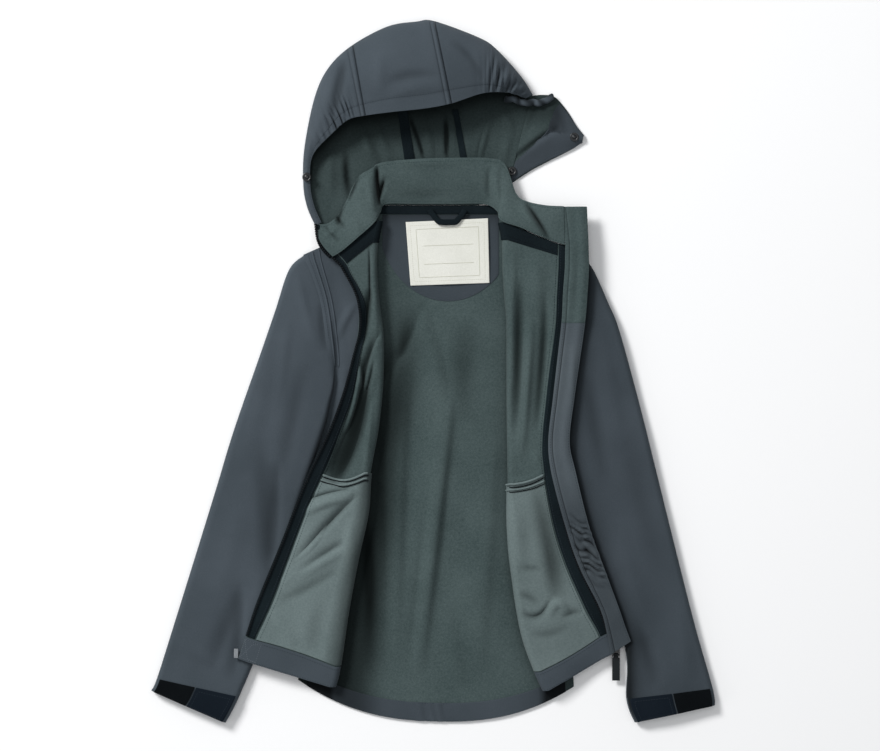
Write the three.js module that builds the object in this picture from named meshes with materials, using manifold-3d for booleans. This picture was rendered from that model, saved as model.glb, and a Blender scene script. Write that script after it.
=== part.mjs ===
// A child's softshell jacket, laid on its back with both fronts folded open. Millimetres, +Z up.
// The origin is on the floor, under the middle of the jacket. +Y runs from the hem to the hood.
import * as THREE from 'three';
import { mergeVertices } from 'three/addons/utils/BufferGeometryUtils.js';
import Module from 'manifold-3d';

// Cloth and trim
const CLOTH = 1.8;
const FACING = 1.0;
const TAPE = 0.8;
const SKIN_GAP = 0.35;

// Height of the middle of the cloth where it lies on the floor
const FLOOR_MID = CLOTH / 2;

// Back panel: how fast the drop hem turns up at its sides, and its two long soft folds
const HEM_POWER = 2.4;
const BACK_FOLDS = [
  { topX: 16, bottomX: -20, topY: -30, bottomY: -330, height: 4, width: 13 },
  { topX: -30, bottomX: -42, topY: 20, bottomY: -300, height: 2.2, width: 16 },
];

// Hem facing of the back, kept this share of its width clear of each side seam
const HEM_MARGIN = 0.03;

// Back neck: half-moon facing, label and hanger loop
const NECK = { left: -50, right: 62, topY: 182.8, tapeY: 173.2 };
const MOON = { middleX: 16, topY: 172.6, halfWidth: 78, depth: 95, left: -56, right: 72 };
const LABEL = { left: -30, right: 61, top: 167.5, bottom: 96, thickness: 0.7 };
const LOOP = { left: -6.7, right: 36.4, drop: 13, width: 7, taper: 11, thickness: 1.2, top: 178 };

// Zip: teeth row, metal end, slider, its lugs and pin, and the pull tab
const TEETH = { share: 0.45, thickness: 1.6 };
const ZIP_END = { x: -215.8, y: -308, z: 16.6, width: 4.4, length: 10, height: 3 };
const SLIDER = { x: 200.6, y: -303.6, z: 6.4, width: 8.2, length: 9, height: 5 };
const LUG = { inner: 3, thickness: 1.3, reach: 4.6, height: 3.2, bite: 0.2 };
const PIN = { radius: 0.7, back: 2.4 };
const PULL = { eye: 5.2, eyeRadius: 1.9, hole: 1.15, width: 8.4, length: 25, thickness: 1.6, neck: 3.4 };
const PULL_BITE = 0.5;

// Hood snaps: their size, and where each one's underside lies
const SNAP = { radius: 5.5, height: 2.2, sides: 16 };
const SNAP_PLACES = {
  corner_tip: [151.5, 256, 6.4],
  corner_low: [92.6, 221.4, 4.6],
  left: [-138.2, 213.4, 12.4],
};

// Colours, sRGB
const SHELL = 0x474d55;
const FLEECE = 0x46544f;
const POCKET = 0x6f7d78;
const TRIM = 0x14201f;
const METAL = 0x9a9c9e;
const CREAM = 0xe9eadf;

/** Rows of named numbers from one line of column names and the rows' values. */
function table(names, rows) {
  const keys = names.split(' ');
  return rows.map((row) => Object.fromEntries(keys.map((key, i) => [key, row[i]])));
}

// One row a section, from the hem up. side is the side seam, fold the visible inner edge, tape the
// inner edge of the zip tape, zip the edge of the front. low and high are the two layers' heights.
const FRONT_COLUMNS = 'sideX sideY foldX foldY tapeX tapeY zipX zipY sag sideZ low high zipZ';
const FRONT_LEFT = table(FRONT_COLUMNS, [
  [-147, -334, -108.7, -345.1, -204, -317.5, -213.4, -314, 0, 3.05, 5, 15, 16.6],
  [-146, -312, -103.2, -322.8, -195.8, -293.5, -205.4, -289.6, 2, 3.05, 5, 15.4, 16.9],
  [-142, -255, -94, -261, -176.4, -251.5, -192.8, -251.1, 0, 3.05, 5, 16, 17.6],
  [-135, -203, -83.6, -205, -154.3, -192.8, -169.2, -192.8, 0, 3.05, 5, 16, 17.8],
  [-129, -152, -72.8, -155, -136.5, -146, -150.5, -144.5, 0, 3.05, 5, 16, 17.8],
  [-122, -108, -69.3, -111, -121.2, -112.5, -136.5, -110, -7, 3.05, 5, 16, 17.8],
  [-117, -65, -61, -65, -101, -62, -114.4, -64.1, 0, 3.05, 5, 16, 17.6],
  [-113, -25, -56.5, -25, -88, -24, -99.5, -24, 0, 3.05, 5.5, 16.5, 17.4],
  [-110.6, 4, -54.9, 8, -78.5, 9, -86.9, 9.1, 0, 5, 7, 17.5, 18],
  [-112.6, 42, -55.6, 45, -71.5, 45, -79.2, 45, 0, 8, 8, 18.5, 18.5],
  [-118.3, 79, -59.9, 80, -74.5, 80, -80.6, 79.8, 0, 9, 8, 18.5, 18.5],
  [-128, 107, -62.4, 117, -89.5, 109, -96.6, 110.6, 0, 9, 8, 18, 18],
  [-134, 118, -61, 143.6, -92.8, 120.3, -99.8, 116.4, 0, 8, 7.5, 17, 17.5],
  [-138.4, 126.4, -57, 165.4, -101.4, 129, -108.1, 126.8, 0, 7, 7, 15, 17],
]);
const FRONT_RIGHT = table(FRONT_COLUMNS, [
  [153.5, -336, 121.8, -349, 184, -315.5, 196.1, -309.6, 0, 3.05, 5, 14, 8.6],
  [151.5, -312, 112.6, -328.6, 183, -290.6, 191.5, -286, -2, 3.05, 5, 15, 12],
  [147, -262, 97.4, -284, 169.1, -258.4, 183.6, -258, 0, 3.05, 5, 16, 15.5],
  [143, -213, 86.4, -215, 146, -213, 161, -213, 0, 3.05, 5, 16, 17.6],
  [138, -165, 82.6, -170, 132, -169, 146.8, -169, 0, 3.05, 5, 16, 17.8],
  [132, -118, 82.3, -123, 121, -112.5, 133.6, -111, -2, 3.05, 5, 16, 17.8],
  [127, -70, 81.6, -75, 119, -75.6, 131, -75.6, 0, 3.05, 5, 16, 17.8],
  [123, -25, 81.1, -31, 123.5, -30, 136, -30, 0, 3.05, 5.5, 16.5, 17.6],
  [120.8, 4, 80.9, 10, 128, 10, 140.5, 10, 0, 5, 7, 17.5, 18],
  [123, 45, 80.6, 55, 133.4, 55, 145.5, 55, 0, 8, 8, 18.5, 18.5],
  [129, 79, 78.5, 82, 135, 85, 147, 85, 0, 9, 8, 18.5, 18.5],
  [138, 107, 76.6, 112, 136.5, 112, 149, 112, 0, 9, 8, 18, 18],
  [143, 118, 75.8, 147, 136.9, 128.4, 149.4, 128.2, 0, 8, 7.5, 17, 17.5],
  [147.5, 126.4, 72.6, 163.4, 137.2, 139.4, 149.7, 139.2, 0, 7, 7, 15, 17],
]);
// Rows of the fronts at which a piece begins or ends
const ROW = { facingTop: 1, pocketTop: 5, neckTape: 12, neckSeam: 13 };

// Right edge of the wind flap beside each row of the right front, and its top above the neck seam
const FLAP_EDGE = table('x y z', [
  [216.4, -295, 14.6], [209.6, -277, 17.4], [202.6, -257, 19.4], [186.6, -214, 20.8], [170.8, -170, 21.2],
  [155.6, -110, 21.2], [148.8, -76, 21.2], [153.7, -30, 21], [159.5, 10, 21], [165.9, 55, 21.4],
  [168.6, 87, 21.4], [170, 112, 21], [169.8, 128, 20.6], [169.4, 139.4, 20.4], [168, 180.6, 17],
]);
const FLAP = { lift: 3.8, overlap: 5.4, topX: 140.8, topY: 180.6, topZ: 17, fleeceRow: 9, edgeRise: 0.4 };

// Back panel, a row a section from the hem up. bow is how far the middle hangs below the ends.
const BACK = table('leftX leftY rightX rightY bow', [
  [-148.5, -338.6, 154.6, -346, 42],
  [-147.6, -322, 153.4, -328, 38],
  [-143, -270, 148.6, -270, 22],
  [-135, -200, 141.6, -200, 7],
  [-122, -105, 130.6, -105, 0],
  [-111.6, -5, 120.4, -5, 0],
  [-113, 45, 123.4, 45, 0],
  [-120, 83, 130.6, 83, 0],
  [-138, 124, 146.2, 124, 0],
  [-104, 148, 113, 148, 0],
  [-64, 173.2, 76, 173.2, 0],
  [-56.4, 182.8, 68.6, 182.8, 0],
]);

// Sleeves: a row a ring from the armhole to the cuff, with its outer and inner edges, the tube's height
// and how far the ring bows towards the body, as the armhole seam does
const SLEEVE_LEFT = table('outX outY inX inY height bow', [
  [-140.9, 127.6, -112.9, -2.6, 11, 8.6],
  [-157.6, 111.4, -115, -18, 13.4, 7],
  [-172.4, 67.4, -119.4, -38, 14, 3],
  [-187.3, 23.9, -124.6, -60, 14, 0],
  [-217.9, -64.1, -140, -108, 14, 0],
  [-236.6, -125.7, -150.6, -155, 14, 0],
  [-256.6, -190.6, -163, -205, 13.6, 0],
  [-282.3, -273.1, -186, -287, 12.6, 0],
  [-302.4, -336.6, -213.8, -356, 11.4, 0],
  [-308.8, -350.1, -228.6, -384.6, 11, 0],
]);
const SLEEVE_RIGHT = table('outX outY inX inY height bow', [
  [149.4, 127.6, 122.2, -2.6, 11, -7.8],
  [170.6, 118, 125.6, -18, 13.4, -7],
  [191.7, 74.2, 130, -38, 14, -3],
  [204, 43, 135.4, -60, 14, 0],
  [226.3, -38.8, 150, -108, 14, 0],
  [241.6, -100, 160.6, -155, 14, 0],
  [256.4, -160, 172, -205, 13.6, 0],
  [284.9, -273.1, 210.5, -300, 12.6, 0],
  [305.8, -347.2, 212.8, -358.6, 11.4, 0],
  [308.5, -366, 221.9, -384.6, 11, 0],
]);
// Cuff pieces lie on the sleeve's top from this ring on, the band from the outer edge inwards
const CUFF = { fromRing: 8, lastRing: 9, bandFrom: 1.9, bandTo: 2.46, tabFrom: 2.48, tabTo: 3.1 };

// Collar: seam and top edge of each upright section, from the left zip round to the right one
const COLLAR = table('seamX seamY seamZ topX topY topZ', [
  [-108.4, 127.4, 19.6, -127.6, 161.2, 15],
  [-98.8, 132.8, 20, -113, 163.4, 13],
  [-81, 148, 19.8, -98, 181.4, 11],
  [-65, 162.6, 18.8, -84, 211, 10],
  [-58.8, 174, 12, -68, 222.6, 13],
  [-52, 184.2, 5.4, -55, 229.4, 15],
  [-20, 184.4, 5.2, -20, 232.6, 15.6],
  [20, 184.4, 5.2, 17, 234, 15.6],
  [56, 184.2, 5.4, 62, 233.8, 15],
  [70.2, 176, 12, 79, 226.4, 14],
  [74.4, 165.4, 18.4, 91, 194.4, 15],
  [97, 157, 19.8, 104.6, 185.8, 16],
  [122, 146, 20, 124, 181.8, 16.6],
  [137.4, 140.8, 19.6, 139.4, 181, 16.6],
]);

// Hood: a row a rib. neck is the neck edge, out the outline on the floor, brim the face opening.
const HOOD = table('neckX neckY outX outY brimX brimY crown', [
  [-114, 158, -130.4, 168.4, -125, 171, 6],
  [-117, 165, -137.6, 181, -131.6, 184.4, 8],
  [-113, 171.6, -141.8, 206, -135.2, 208, 9],
  [-98, 178, -140.4, 246, -132, 237, 14],
  [-80, 183, -129, 301, -110, 260.5, 26],
  [-66, 183.3, -113.6, 333, -92.7, 274.4, 34],
  [-50, 183.3, -88.3, 356.6, -74, 278.6, 39],
  [-30, 183.3, -50, 377, -43, 282.4, 42],
  [-12, 183.3, -18.5, 382.4, -9.1, 286, 43],
  [8, 183.3, 0.8, 382.9, 19.5, 291.4, 43],
  [30, 183.3, 49.2, 365, 49.2, 301.6, 40],
  [48, 183.3, 69, 352, 65.4, 304.6, 34],
  [66, 188, 95, 323.6, 83.6, 304.6, 24],
  [82, 204, 108.4, 303.6, 101.2, 300.2, 11],
]);
// How high the hood's cloth lies at seven places along a rib, as shares of its crown
const HOOD_HEIGHT = [0.01, 0, 0.03, 0.3, 0.7, 1, 0.84];
// How far along neck to outline, or outline to brim, those places are
const HOOD_REACH = [0, 0.5, 0.94, 1, 0.1, 0.5, 1];
const HOOD_SEAM = { left: 6, right: 9, last: 13 };
const SEAM_HALF = 0.012;

// The hood's opened right corner, a row a section away from the hood
const CORNER = table('lowX lowY highX highY z', [
  [86.4, 209.4, 109.6, 303.2, 3],
  [106, 220.4, 121, 304.4, 5],
  [125.1, 230.7, 133.6, 302, 6],
  [140, 238.2, 146.9, 287.1, 5],
  [155.5, 246.4, 157.7, 269.7, 4],
  [163.4, 252.8, 165, 259.4, 3],
]);
const CORNER_FACING = { low: 0.02, high: 0.3, margin: 0.1 };

// Seam tapes on the hood's fleece, each from the brim's shadow down to the collar, raised a little
const HOOD_TAPE_RISE = 0.5;
const HOOD_TAPES = table('topX topY bottomX bottomY width', [
  [-34, 286, -26, 236, 11],
  [24, 286, 33.5, 238, 7],
]);

/** Every named number of a table at a place between its rows, on a Catmull-Rom curve. */
function along(rows, place) {
  const last = rows.length - 1;
  const i = Math.min(Math.floor(place), last - 1);
  const t = place - i;
  const near = [i - 1, i, i + 1, i + 2].map((k) => rows[Math.min(Math.max(k, 0), last)]);
  const values = {};
  for (const key of Object.keys(rows[0])) {
    const [a, b, c, d] = near.map((row) => row[key]);
    const square = 2 * a - 5 * b + 4 * c - d;
    const cube = 3 * (b - c) + d - a;
    values[key] = b + 0.5 * t * (c - a + t * (square + t * cube));
  }
  return values;
}

/** Even steps from one value to another. */
function steps(from, to, count) {
  return Array.from({ length: count + 1 }, (_, i) => from + ((to - from) * i) / count);
}

const mix = (a, b, t) => a + (b - a) * t;
const ease = (t) => t * t * (3 - 2 * t);

/** Points of a surface at each pair of a row place and a column place. */
function grid(point, rowPlaces, columnPlaces) {
  return rowPlaces.map((row) => columnPlaces.map((column) => point(row, column)));
}

/** Upright direction of a grid at each of its points, turned so that most of it looks up. */
function upright(rows, round) {
  const high = rows.length - 1;
  const wide = rows[0].length;
  const column = (j) => (round ? (j + wide) % wide : Math.min(Math.max(j, 0), wide - 1));
  const normals = rows.map((row, i) => row.map((_, j) => {
    const lengthwise = rows[Math.min(i + 1, high)][j].clone().sub(rows[Math.max(i - 1, 0)][j]);
    const across = row[column(j + 1)].clone().sub(row[column(j - 1)]);
    return across.cross(lengthwise).normalize();
  }));
  const sum = normals.flat().reduce((total, normal) => total + normal.z, 0);
  if (!round && sum < 0) normals.flat().forEach((normal) => normal.negate());
  return normals;
}

/** Turns a triangle list so that the closed body it bounds faces out. */
function facingOut(corners, faces) {
  let volume = 0;
  for (const [a, b, c] of faces) {
    volume += corners[a].dot(corners[b].clone().cross(corners[c]));
  }
  return volume < 0 ? faces.map(([a, b, c]) => [a, c, b]) : faces;
}

/** A geometry from corner points and triangles. */
function solid(corners, faces) {
  const geometry = new THREE.BufferGeometry();
  geometry.setAttribute('position', new THREE.Float32BufferAttribute(corners.flatMap((p) => p.toArray()), 3));
  geometry.setIndex(facingOut(corners, faces).flat());
  return geometry.toNonIndexed();
}

/**
 * A closed wall of even thickness round a grid of points, moved out by lift along the grid's
 * upright. A round grid closes on itself across its rows and stays open at its first and last.
 */
function wall(rows, thickness, lift = 0, round = false) {
  const wide = rows[0].length;
  const high = rows.length;
  const normals = upright(rows, round);
  const corners = [];
  for (const offset of [lift + thickness / 2, lift - thickness / 2]) {
    rows.forEach((row, i) => row.forEach((point, j) => {
      corners.push(point.clone().addScaledVector(normals[i][j], offset));
    }));
  }
  const at = (i, j, under) => (under ? high * wide : 0) + i * wide + (j % wide);
  const faces = [];
  const quad = (a, b, c, d) => faces.push([a, b, c], [a, c, d]);
  const lastColumn = round ? wide : wide - 1;
  for (let i = 0; i < high - 1; i += 1) {
    for (let j = 0; j < lastColumn; j += 1) {
      quad(at(i, j), at(i, j + 1), at(i + 1, j + 1), at(i + 1, j));
      quad(at(i, j, true), at(i + 1, j, true), at(i + 1, j + 1, true), at(i, j + 1, true));
    }
    if (!round) {
      quad(at(i, 0), at(i + 1, 0), at(i + 1, 0, true), at(i, 0, true));
      quad(at(i + 1, wide - 1), at(i, wide - 1), at(i, wide - 1, true), at(i + 1, wide - 1, true));
    }
  }
  for (let j = 0; j < lastColumn; j += 1) {
    quad(at(0, j + 1), at(0, j), at(0, j, true), at(0, j + 1, true));
    quad(at(high - 1, j), at(high - 1, j + 1), at(high - 1, j + 1, true), at(high - 1, j, true));
  }
  return solid(corners, faces);
}

const jacket = new THREE.Group();

/** Adds one named piece to the jacket. */
function add(name, geometry, color, roughness = 0.85, metalness = 0) {
  const mesh = new THREE.Mesh(geometry, new THREE.MeshStandardMaterial({ color, roughness, metalness }));
  mesh.name = name;
  jacket.add(mesh);
  return mesh;
}

// Back panel

/** Lift of the back's cloth over its long soft folds. */
function backFold(x, y) {
  let lift = 0;
  for (const fold of BACK_FOLDS) {
    const t = (fold.topY - y) / (fold.topY - fold.bottomY);
    if (t > 0 && t < 1) {
      const away = (x - mix(fold.topX, fold.bottomX, t)) / fold.width;
      lift += fold.height * Math.sin(Math.PI * t) ** 0.5 * Math.exp(-away * away);
    }
  }
  return lift;
}

/** Point of the back panel at a row place and a share of its width from the left. */
function backPoint(place, share) {
  const row = along(BACK, place);
  const x = mix(row.leftX, row.rightX, share);
  const y = mix(row.leftY, row.rightY, share) - row.bow * (1 - Math.abs(2 * share - 1) ** HEM_POWER);
  return new THREE.Vector3(x, y, FLOOR_MID + backFold(x, y));
}

/** How far a layer of this thickness lies above the middle of the cloth under it. */
const over = (thickness, between = 0) => CLOTH / 2 + SKIN_GAP + between + thickness / 2;

add('back_panel', wall(grid(backPoint, steps(0, 11, 18), steps(0, 1, 12)), CLOTH), FLEECE);
const backHem = grid(backPoint, steps(0, 1, 2), steps(HEM_MARGIN, 1 - HEM_MARGIN, 14));
add('back_hem_facing', wall(backHem, FACING, over(FACING)), SHELL);

const neckRows = [NECK.tapeY, (NECK.tapeY + NECK.topY) / 2, NECK.topY];
const neckColumns = steps(NECK.left, NECK.right, 6);
const neckTape = neckRows.map((y) => neckColumns.map((x) => new THREE.Vector3(x, y, FLOOR_MID)));
add('neck_tape_back', wall(neckTape, TAPE, over(TAPE)), TRIM);

/** Half-moon of the neck facing: points across it at a share of its depth. */
function moonPoint(share, across) {
  const half = MOON.halfWidth * Math.sqrt(1 - share * share);
  const left = Math.max(MOON.middleX - half, MOON.left);
  const right = Math.min(MOON.middleX + half, MOON.right);
  return new THREE.Vector3(mix(left, right, across), MOON.topY - MOON.depth * share, FLOOR_MID);
}
const moonRows = [0, 0.25, 0.5, 0.7, 0.85, 0.94, 0.985];
add('back_neck_facing', wall(grid(moonPoint, moonRows, steps(0, 1, 6)), FACING, over(FACING)), SHELL);

const labelRows = [LABEL.bottom, LABEL.top].map((y) => (
  [LABEL.left, LABEL.right].map((x) => new THREE.Vector3(x, y, FLOOR_MID))));
const overFacing = FACING + SKIN_GAP;
add('label', wall(labelRows, LABEL.thickness, over(LABEL.thickness, overFacing)), CREAM);

/** Hanger loop: a flat tape down from the neck tape, along and up again, with mitred corners. */
function loopRows() {
  const low = LOOP.top - LOOP.drop;
  const outer = [[LOOP.left, LOOP.top], [LOOP.left + LOOP.taper, low], [LOOP.right - LOOP.taper, low],
    [LOOP.right, LOOP.top]];
  const inset = LOOP.width;
  const inner = [[LOOP.left + inset, LOOP.top], [LOOP.left + LOOP.taper + inset / 2, low + inset],
    [LOOP.right - LOOP.taper - inset / 2, low + inset], [LOOP.right - inset, LOOP.top]];
  return [outer, inner].map((line) => line.map(([x, y]) => new THREE.Vector3(x, y, FLOOR_MID)));
}
const overLabel = overFacing + LABEL.thickness + SKIN_GAP;
add('hanger_loop', wall(loopRows(), LOOP.thickness, over(LOOP.thickness, overLabel)), TRIM);

// Fronts

// Column places of a front: 0 side seam, 1 start of the turn, 2 its end, 3 zip tape, 4 zip edge
const COLUMN = { turn: 1, top: 2, tape: 3, zip: 4 };
const FRONT_COLUMN_PLACES = [0, 0.12, 0.4, 0.7, 1, 1.25, 1.5, 1.75, 2, 2.25, 2.5, 2.75, 3, 4];

/** Point of a front: along the back, round the fold and back over itself to the zip edge. */
function frontPoint(rows, place, column) {
  const row = along(rows, place);
  const side = Math.sign(row.sideX);
  const radius = (row.high - row.low) / 2;
  const turnX = row.foldX + side * radius;
  if (column <= COLUMN.turn) {
    const z = mix(row.sideZ, row.low, ease(Math.min(column / 0.4, 1)));
    return new THREE.Vector3(mix(row.sideX, turnX, column), mix(row.sideY, row.foldY, column), z);
  }
  if (column <= COLUMN.top) {
    const angle = Math.PI * (column - COLUMN.turn - 0.5);
    return new THREE.Vector3(turnX - side * radius * Math.cos(angle), row.foldY,
      row.low + radius + radius * Math.sin(angle));
  }
  if (column <= COLUMN.tape) {
    const t = column - COLUMN.top;
    const y = mix(row.foldY, row.tapeY, t) + row.sag * Math.sin(Math.PI * t);
    return new THREE.Vector3(mix(turnX, row.tapeX, t), y, mix(row.high, row.zipZ, ease(t)));
  }
  const t = column - COLUMN.tape;
  return new THREE.Vector3(mix(row.tapeX, row.zipX, t), mix(row.tapeY, row.zipY, t), row.zipZ);
}

// What is sewn on a front, by the rows and columns between which it lies, both kept clear of its
// neighbours by a small part of a row
const SEAM = 0.03;
const SEWN = table('piece fromRow toRow rows fromColumn toColumn columns thickness color', [
  ['hem_facing', 0, ROW.facingTop, 2, 2.02, 3.98, 8, FACING, SHELL],
  ['pocket_bag', ROW.facingTop + SEAM, ROW.pocketTop, 8, 2.02, 2.98, 6, FACING, POCKET],
  ['neck_tape', ROW.neckTape, ROW.neckSeam - SEAM, 2, 2.05, 2.98, 4, TAPE, TRIM],
  ['zip_tape', ROW.facingTop + SEAM, ROW.neckSeam, 18, 3.03, 4, 2, TAPE, TRIM],
]);

for (const [name, rows] of [['left', FRONT_LEFT], ['right', FRONT_RIGHT]]) {
  const point = (place, column) => frontPoint(rows, place, column);
  const front = grid(point, steps(0, ROW.neckSeam, 20), FRONT_COLUMN_PLACES);
  add(`front_${name}`, wall(front, CLOTH), FLEECE);
  for (const sewn of SEWN) {
    const rowPlaces = steps(sewn.fromRow, sewn.toRow, sewn.rows);
    const columnPlaces = steps(sewn.fromColumn, sewn.toColumn, sewn.columns);
    const lift = over(sewn.thickness);
    const points = grid(point, rowPlaces, columnPlaces);
    add(`${sewn.piece}_${name}`, wall(points, sewn.thickness, lift), sewn.color);
  }
  const teethRows = steps(ROW.facingTop + SEAM, ROW.neckSeam, 18);
  const teeth = grid(point, teethRows, [COLUMN.zip - TEETH.share, COLUMN.zip]);
  const teethLift = over(TEETH.thickness, TAPE + SKIN_GAP);
  add(`zip_teeth_${name}`, wall(teeth, TEETH.thickness, teethLift), TRIM, 0.6);
}

// Wind flap behind the right zip: one strip, cut where the fleece chin guard ends

/** Point of the wind flap: across from the zip tape's stitching to its free edge. */
function flapPoint(place, share) {
  const edge = along(FLAP_EDGE, place);
  const overNeck = Math.max(place - ROW.neckSeam, 0);
  const stitch = frontPoint(FRONT_RIGHT, Math.min(place, ROW.neckSeam), COLUMN.zip);
  const x = mix(stitch.x - FLAP.overlap, FLAP.topX, overNeck);
  const y = mix(stitch.y, FLAP.topY, overNeck);
  const z = mix(stitch.z + FLAP.lift + TEETH.thickness, FLAP.topZ, overNeck);
  const height = mix(z, edge.z + FLAP.edgeRise, ease(share));
  return new THREE.Vector3(mix(x, edge.x, share), mix(y, edge.y, share), height);
}

const flapAcross = steps(0, 1, 4);
add('wind_flap', wall(grid(flapPoint, steps(0, FLAP.fleeceRow, 14), flapAcross), CLOTH), SHELL);
const chinRows = steps(FLAP.fleeceRow + SEAM, FLAP_EDGE.length - 1, 10);
add('chin_guard', wall(grid(flapPoint, chinRows, flapAcross), CLOTH), FLEECE);

// Collar

/** Point of the collar between its seam and its top edge, bellied a little. */
function collarPoint(place, share) {
  const row = along(COLLAR, place);
  const z = mix(row.seamZ, row.topZ, share) + 2 * Math.sin(Math.PI * share);
  return new THREE.Vector3(mix(row.seamX, row.topX, share), mix(row.seamY, row.topY, share), z);
}
add('collar', wall(grid(collarPoint, steps(0, COLLAR.length - 1, 21), steps(0, 1, 4)), CLOTH), FLEECE);

// Hood

/** Point of the hood at a rib and at one of the seven places along it. */
function hoodPoint(rib, place) {
  const row = along(HOOD, rib);
  const stops = HOOD_REACH.map((reach, i) => {
    const back = i > 3;
    const x = back ? mix(row.outX, row.brimX, reach) : mix(row.neckX, row.outX, reach);
    const y = back ? mix(row.outY, row.brimY, reach) : mix(row.neckY, row.outY, reach);
    return { x, y, z: FLOOR_MID + row.crown * HOOD_HEIGHT[i] };
  });
  const { x, y, z } = along(stops, place);
  return new THREE.Vector3(x, y, Math.max(z, FLOOR_MID));
}
const hoodPlaces = [0, 1, 1.6, 2, 2.5, 3, 3.5, 4, 4.5, 5, 5.5, 6];
const hoodPanels = [
  ['hood_left', 0, HOOD_SEAM.left - SEAM_HALF, 10],
  ['hood_centre', HOOD_SEAM.left + SEAM_HALF, HOOD_SEAM.right - SEAM_HALF, 6],
  ['hood_right', HOOD_SEAM.right + SEAM_HALF, HOOD_SEAM.last, 8],
];
for (const [name, from, to, count] of hoodPanels) {
  add(name, wall(grid(hoodPoint, steps(from, to, count), hoodPlaces), CLOTH), SHELL);
}

/** Point of the opened corner, from its lower edge to its upper one. */
function cornerPoint(place, share) {
  const row = along(CORNER, place);
  const z = FLOOR_MID + row.z * Math.sin(Math.PI * share) ** 2;
  return new THREE.Vector3(mix(row.lowX, row.highX, share), mix(row.lowY, row.highY, share), z);
}
const cornerEnd = CORNER.length - 1;
add('hood_corner', wall(grid(cornerPoint, steps(0, cornerEnd, 7), steps(0, 1, 6)), CLOTH), FLEECE);
const facingRows = steps(CORNER_FACING.margin, cornerEnd - CORNER_FACING.margin, 7);
const cornerFacing = grid(cornerPoint, facingRows, steps(CORNER_FACING.low, CORNER_FACING.high, 2));
add('hood_corner_facing', wall(cornerFacing, FACING, over(FACING)), SHELL);

// Snaps lie on the corner's facing and on the hood's left edge
for (const [name, [x, y, z]] of Object.entries(SNAP_PLACES)) {
  const disc = new THREE.CylinderGeometry(SNAP.radius, SNAP.radius, SNAP.height, SNAP.sides);
  const snap = add(`snap_${name}`, disc.toNonIndexed(), TRIM, 0.4);
  snap.rotation.x = Math.PI / 2;
  snap.position.set(x, y, z + SNAP.height / 2);
}

for (const [i, tape] of HOOD_TAPES.entries()) {
  const middle = (share) => [mix(tape.topX, tape.bottomX, share), mix(tape.topY, tape.bottomY, share)];
  const rows = steps(0, 1, 3).map((share) => {
    const [x, y] = middle(share);
    return [-1, 1].map((side) => new THREE.Vector3(x + (side * tape.width) / 2, y, FLOOR_MID));
  });
  add(`hood_seam_tape_${i === 0 ? 'left' : 'right'}`, wall(rows, TAPE, over(TAPE, HOOD_TAPE_RISE)), TRIM);
}

// Sleeves: flat tubes with round edges, open at the armhole and at the cuff

// Places round a sleeve: 0 to 1 along the floor from the inner edge, 1 to 2 round the outer edge,
// 2 to 3 back along the top, 3 to 4 round the inner edge
const ROUND_SLEEVE = [0, 0.33, 0.67, 1, 1.25, 1.5, 1.75, 2, 2.2, 2.4, 2.6, 2.8, 3, 3.25, 3.5, 3.75];

/** Point of a sleeve at a ring and at a place round it. */
function sleevePoint(rows, ring, place) {
  const row = along(rows, ring);
  const radius = (row.height - CLOTH) / 2;
  const width = Math.hypot(row.outX - row.inX, row.outY - row.inY);
  const edge = radius / width;
  const leg = Math.floor(place);
  const t = place - leg;
  const turn = Math.PI * (t - 0.5);
  const across = [mix(edge, 1 - edge, t), 1 - edge + edge * Math.cos(turn), mix(1 - edge, edge, t),
    edge - edge * Math.cos(turn)][leg];
  const up = [-1, Math.sin(turn), 1, -Math.sin(turn)][leg];
  const bow = row.bow * Math.sin(Math.PI * across);
  return new THREE.Vector3(mix(row.inX, row.outX, across) + bow, mix(row.inY, row.outY, across),
    FLOOR_MID + radius + radius * up);
}

for (const [name, rows] of [['left', SLEEVE_LEFT], ['right', SLEEVE_RIGHT]]) {
  const point = (ring, place) => sleevePoint(rows, ring, place);
  add(`sleeve_${name}`, wall(grid(point, steps(0, CUFF.lastRing, 12), ROUND_SLEEVE), CLOTH, 0, true), SHELL);
  const cuffRings = steps(CUFF.fromRing, CUFF.lastRing, 2);
  const band = grid(point, cuffRings, steps(CUFF.bandFrom, CUFF.bandTo, 4));
  add(`cuff_band_${name}`, wall(band, FACING, over(FACING)), TRIM);
  const tab = grid(point, cuffRings, steps(CUFF.tabFrom, CUFF.tabTo, 4));
  add(`cuff_tab_${name}`, wall(tab, FACING, over(FACING)), TRIM);
}

// Zip hardware

const zipEndBox = new THREE.BoxGeometry(ZIP_END.width, ZIP_END.length, ZIP_END.height);
const zipEnd = add('zip_end_left', zipEndBox, METAL, 0.35, 1);
zipEnd.position.set(ZIP_END.x, ZIP_END.y, ZIP_END.z);

const wasm = await Module();
wasm.setup();

/** A boolean solid from a closed three.js geometry, with its own place already in its points. */
function toSolid(geometry) {
  const merged = mergeVertices(stripped(geometry));
  return new wasm.Manifold(new wasm.Mesh({
    numProp: 3,
    vertProperties: new Float32Array(merged.attributes.position.array),
    triVerts: new Uint32Array(merged.index.array),
  }));
}

/** A geometry with only its positions left. */
function stripped(geometry) {
  const bare = geometry.clone();
  bare.deleteAttribute('normal');
  bare.deleteAttribute('uv');
  return bare;
}

/** A three.js geometry from a boolean solid. */
function toGeometry(body) {
  const mesh = body.getMesh();
  const geometry = new THREE.BufferGeometry();
  geometry.setAttribute('position', new THREE.Float32BufferAttribute(mesh.vertProperties, 3));
  geometry.setIndex(Array.from(mesh.triVerts));
  return geometry;
}

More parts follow.
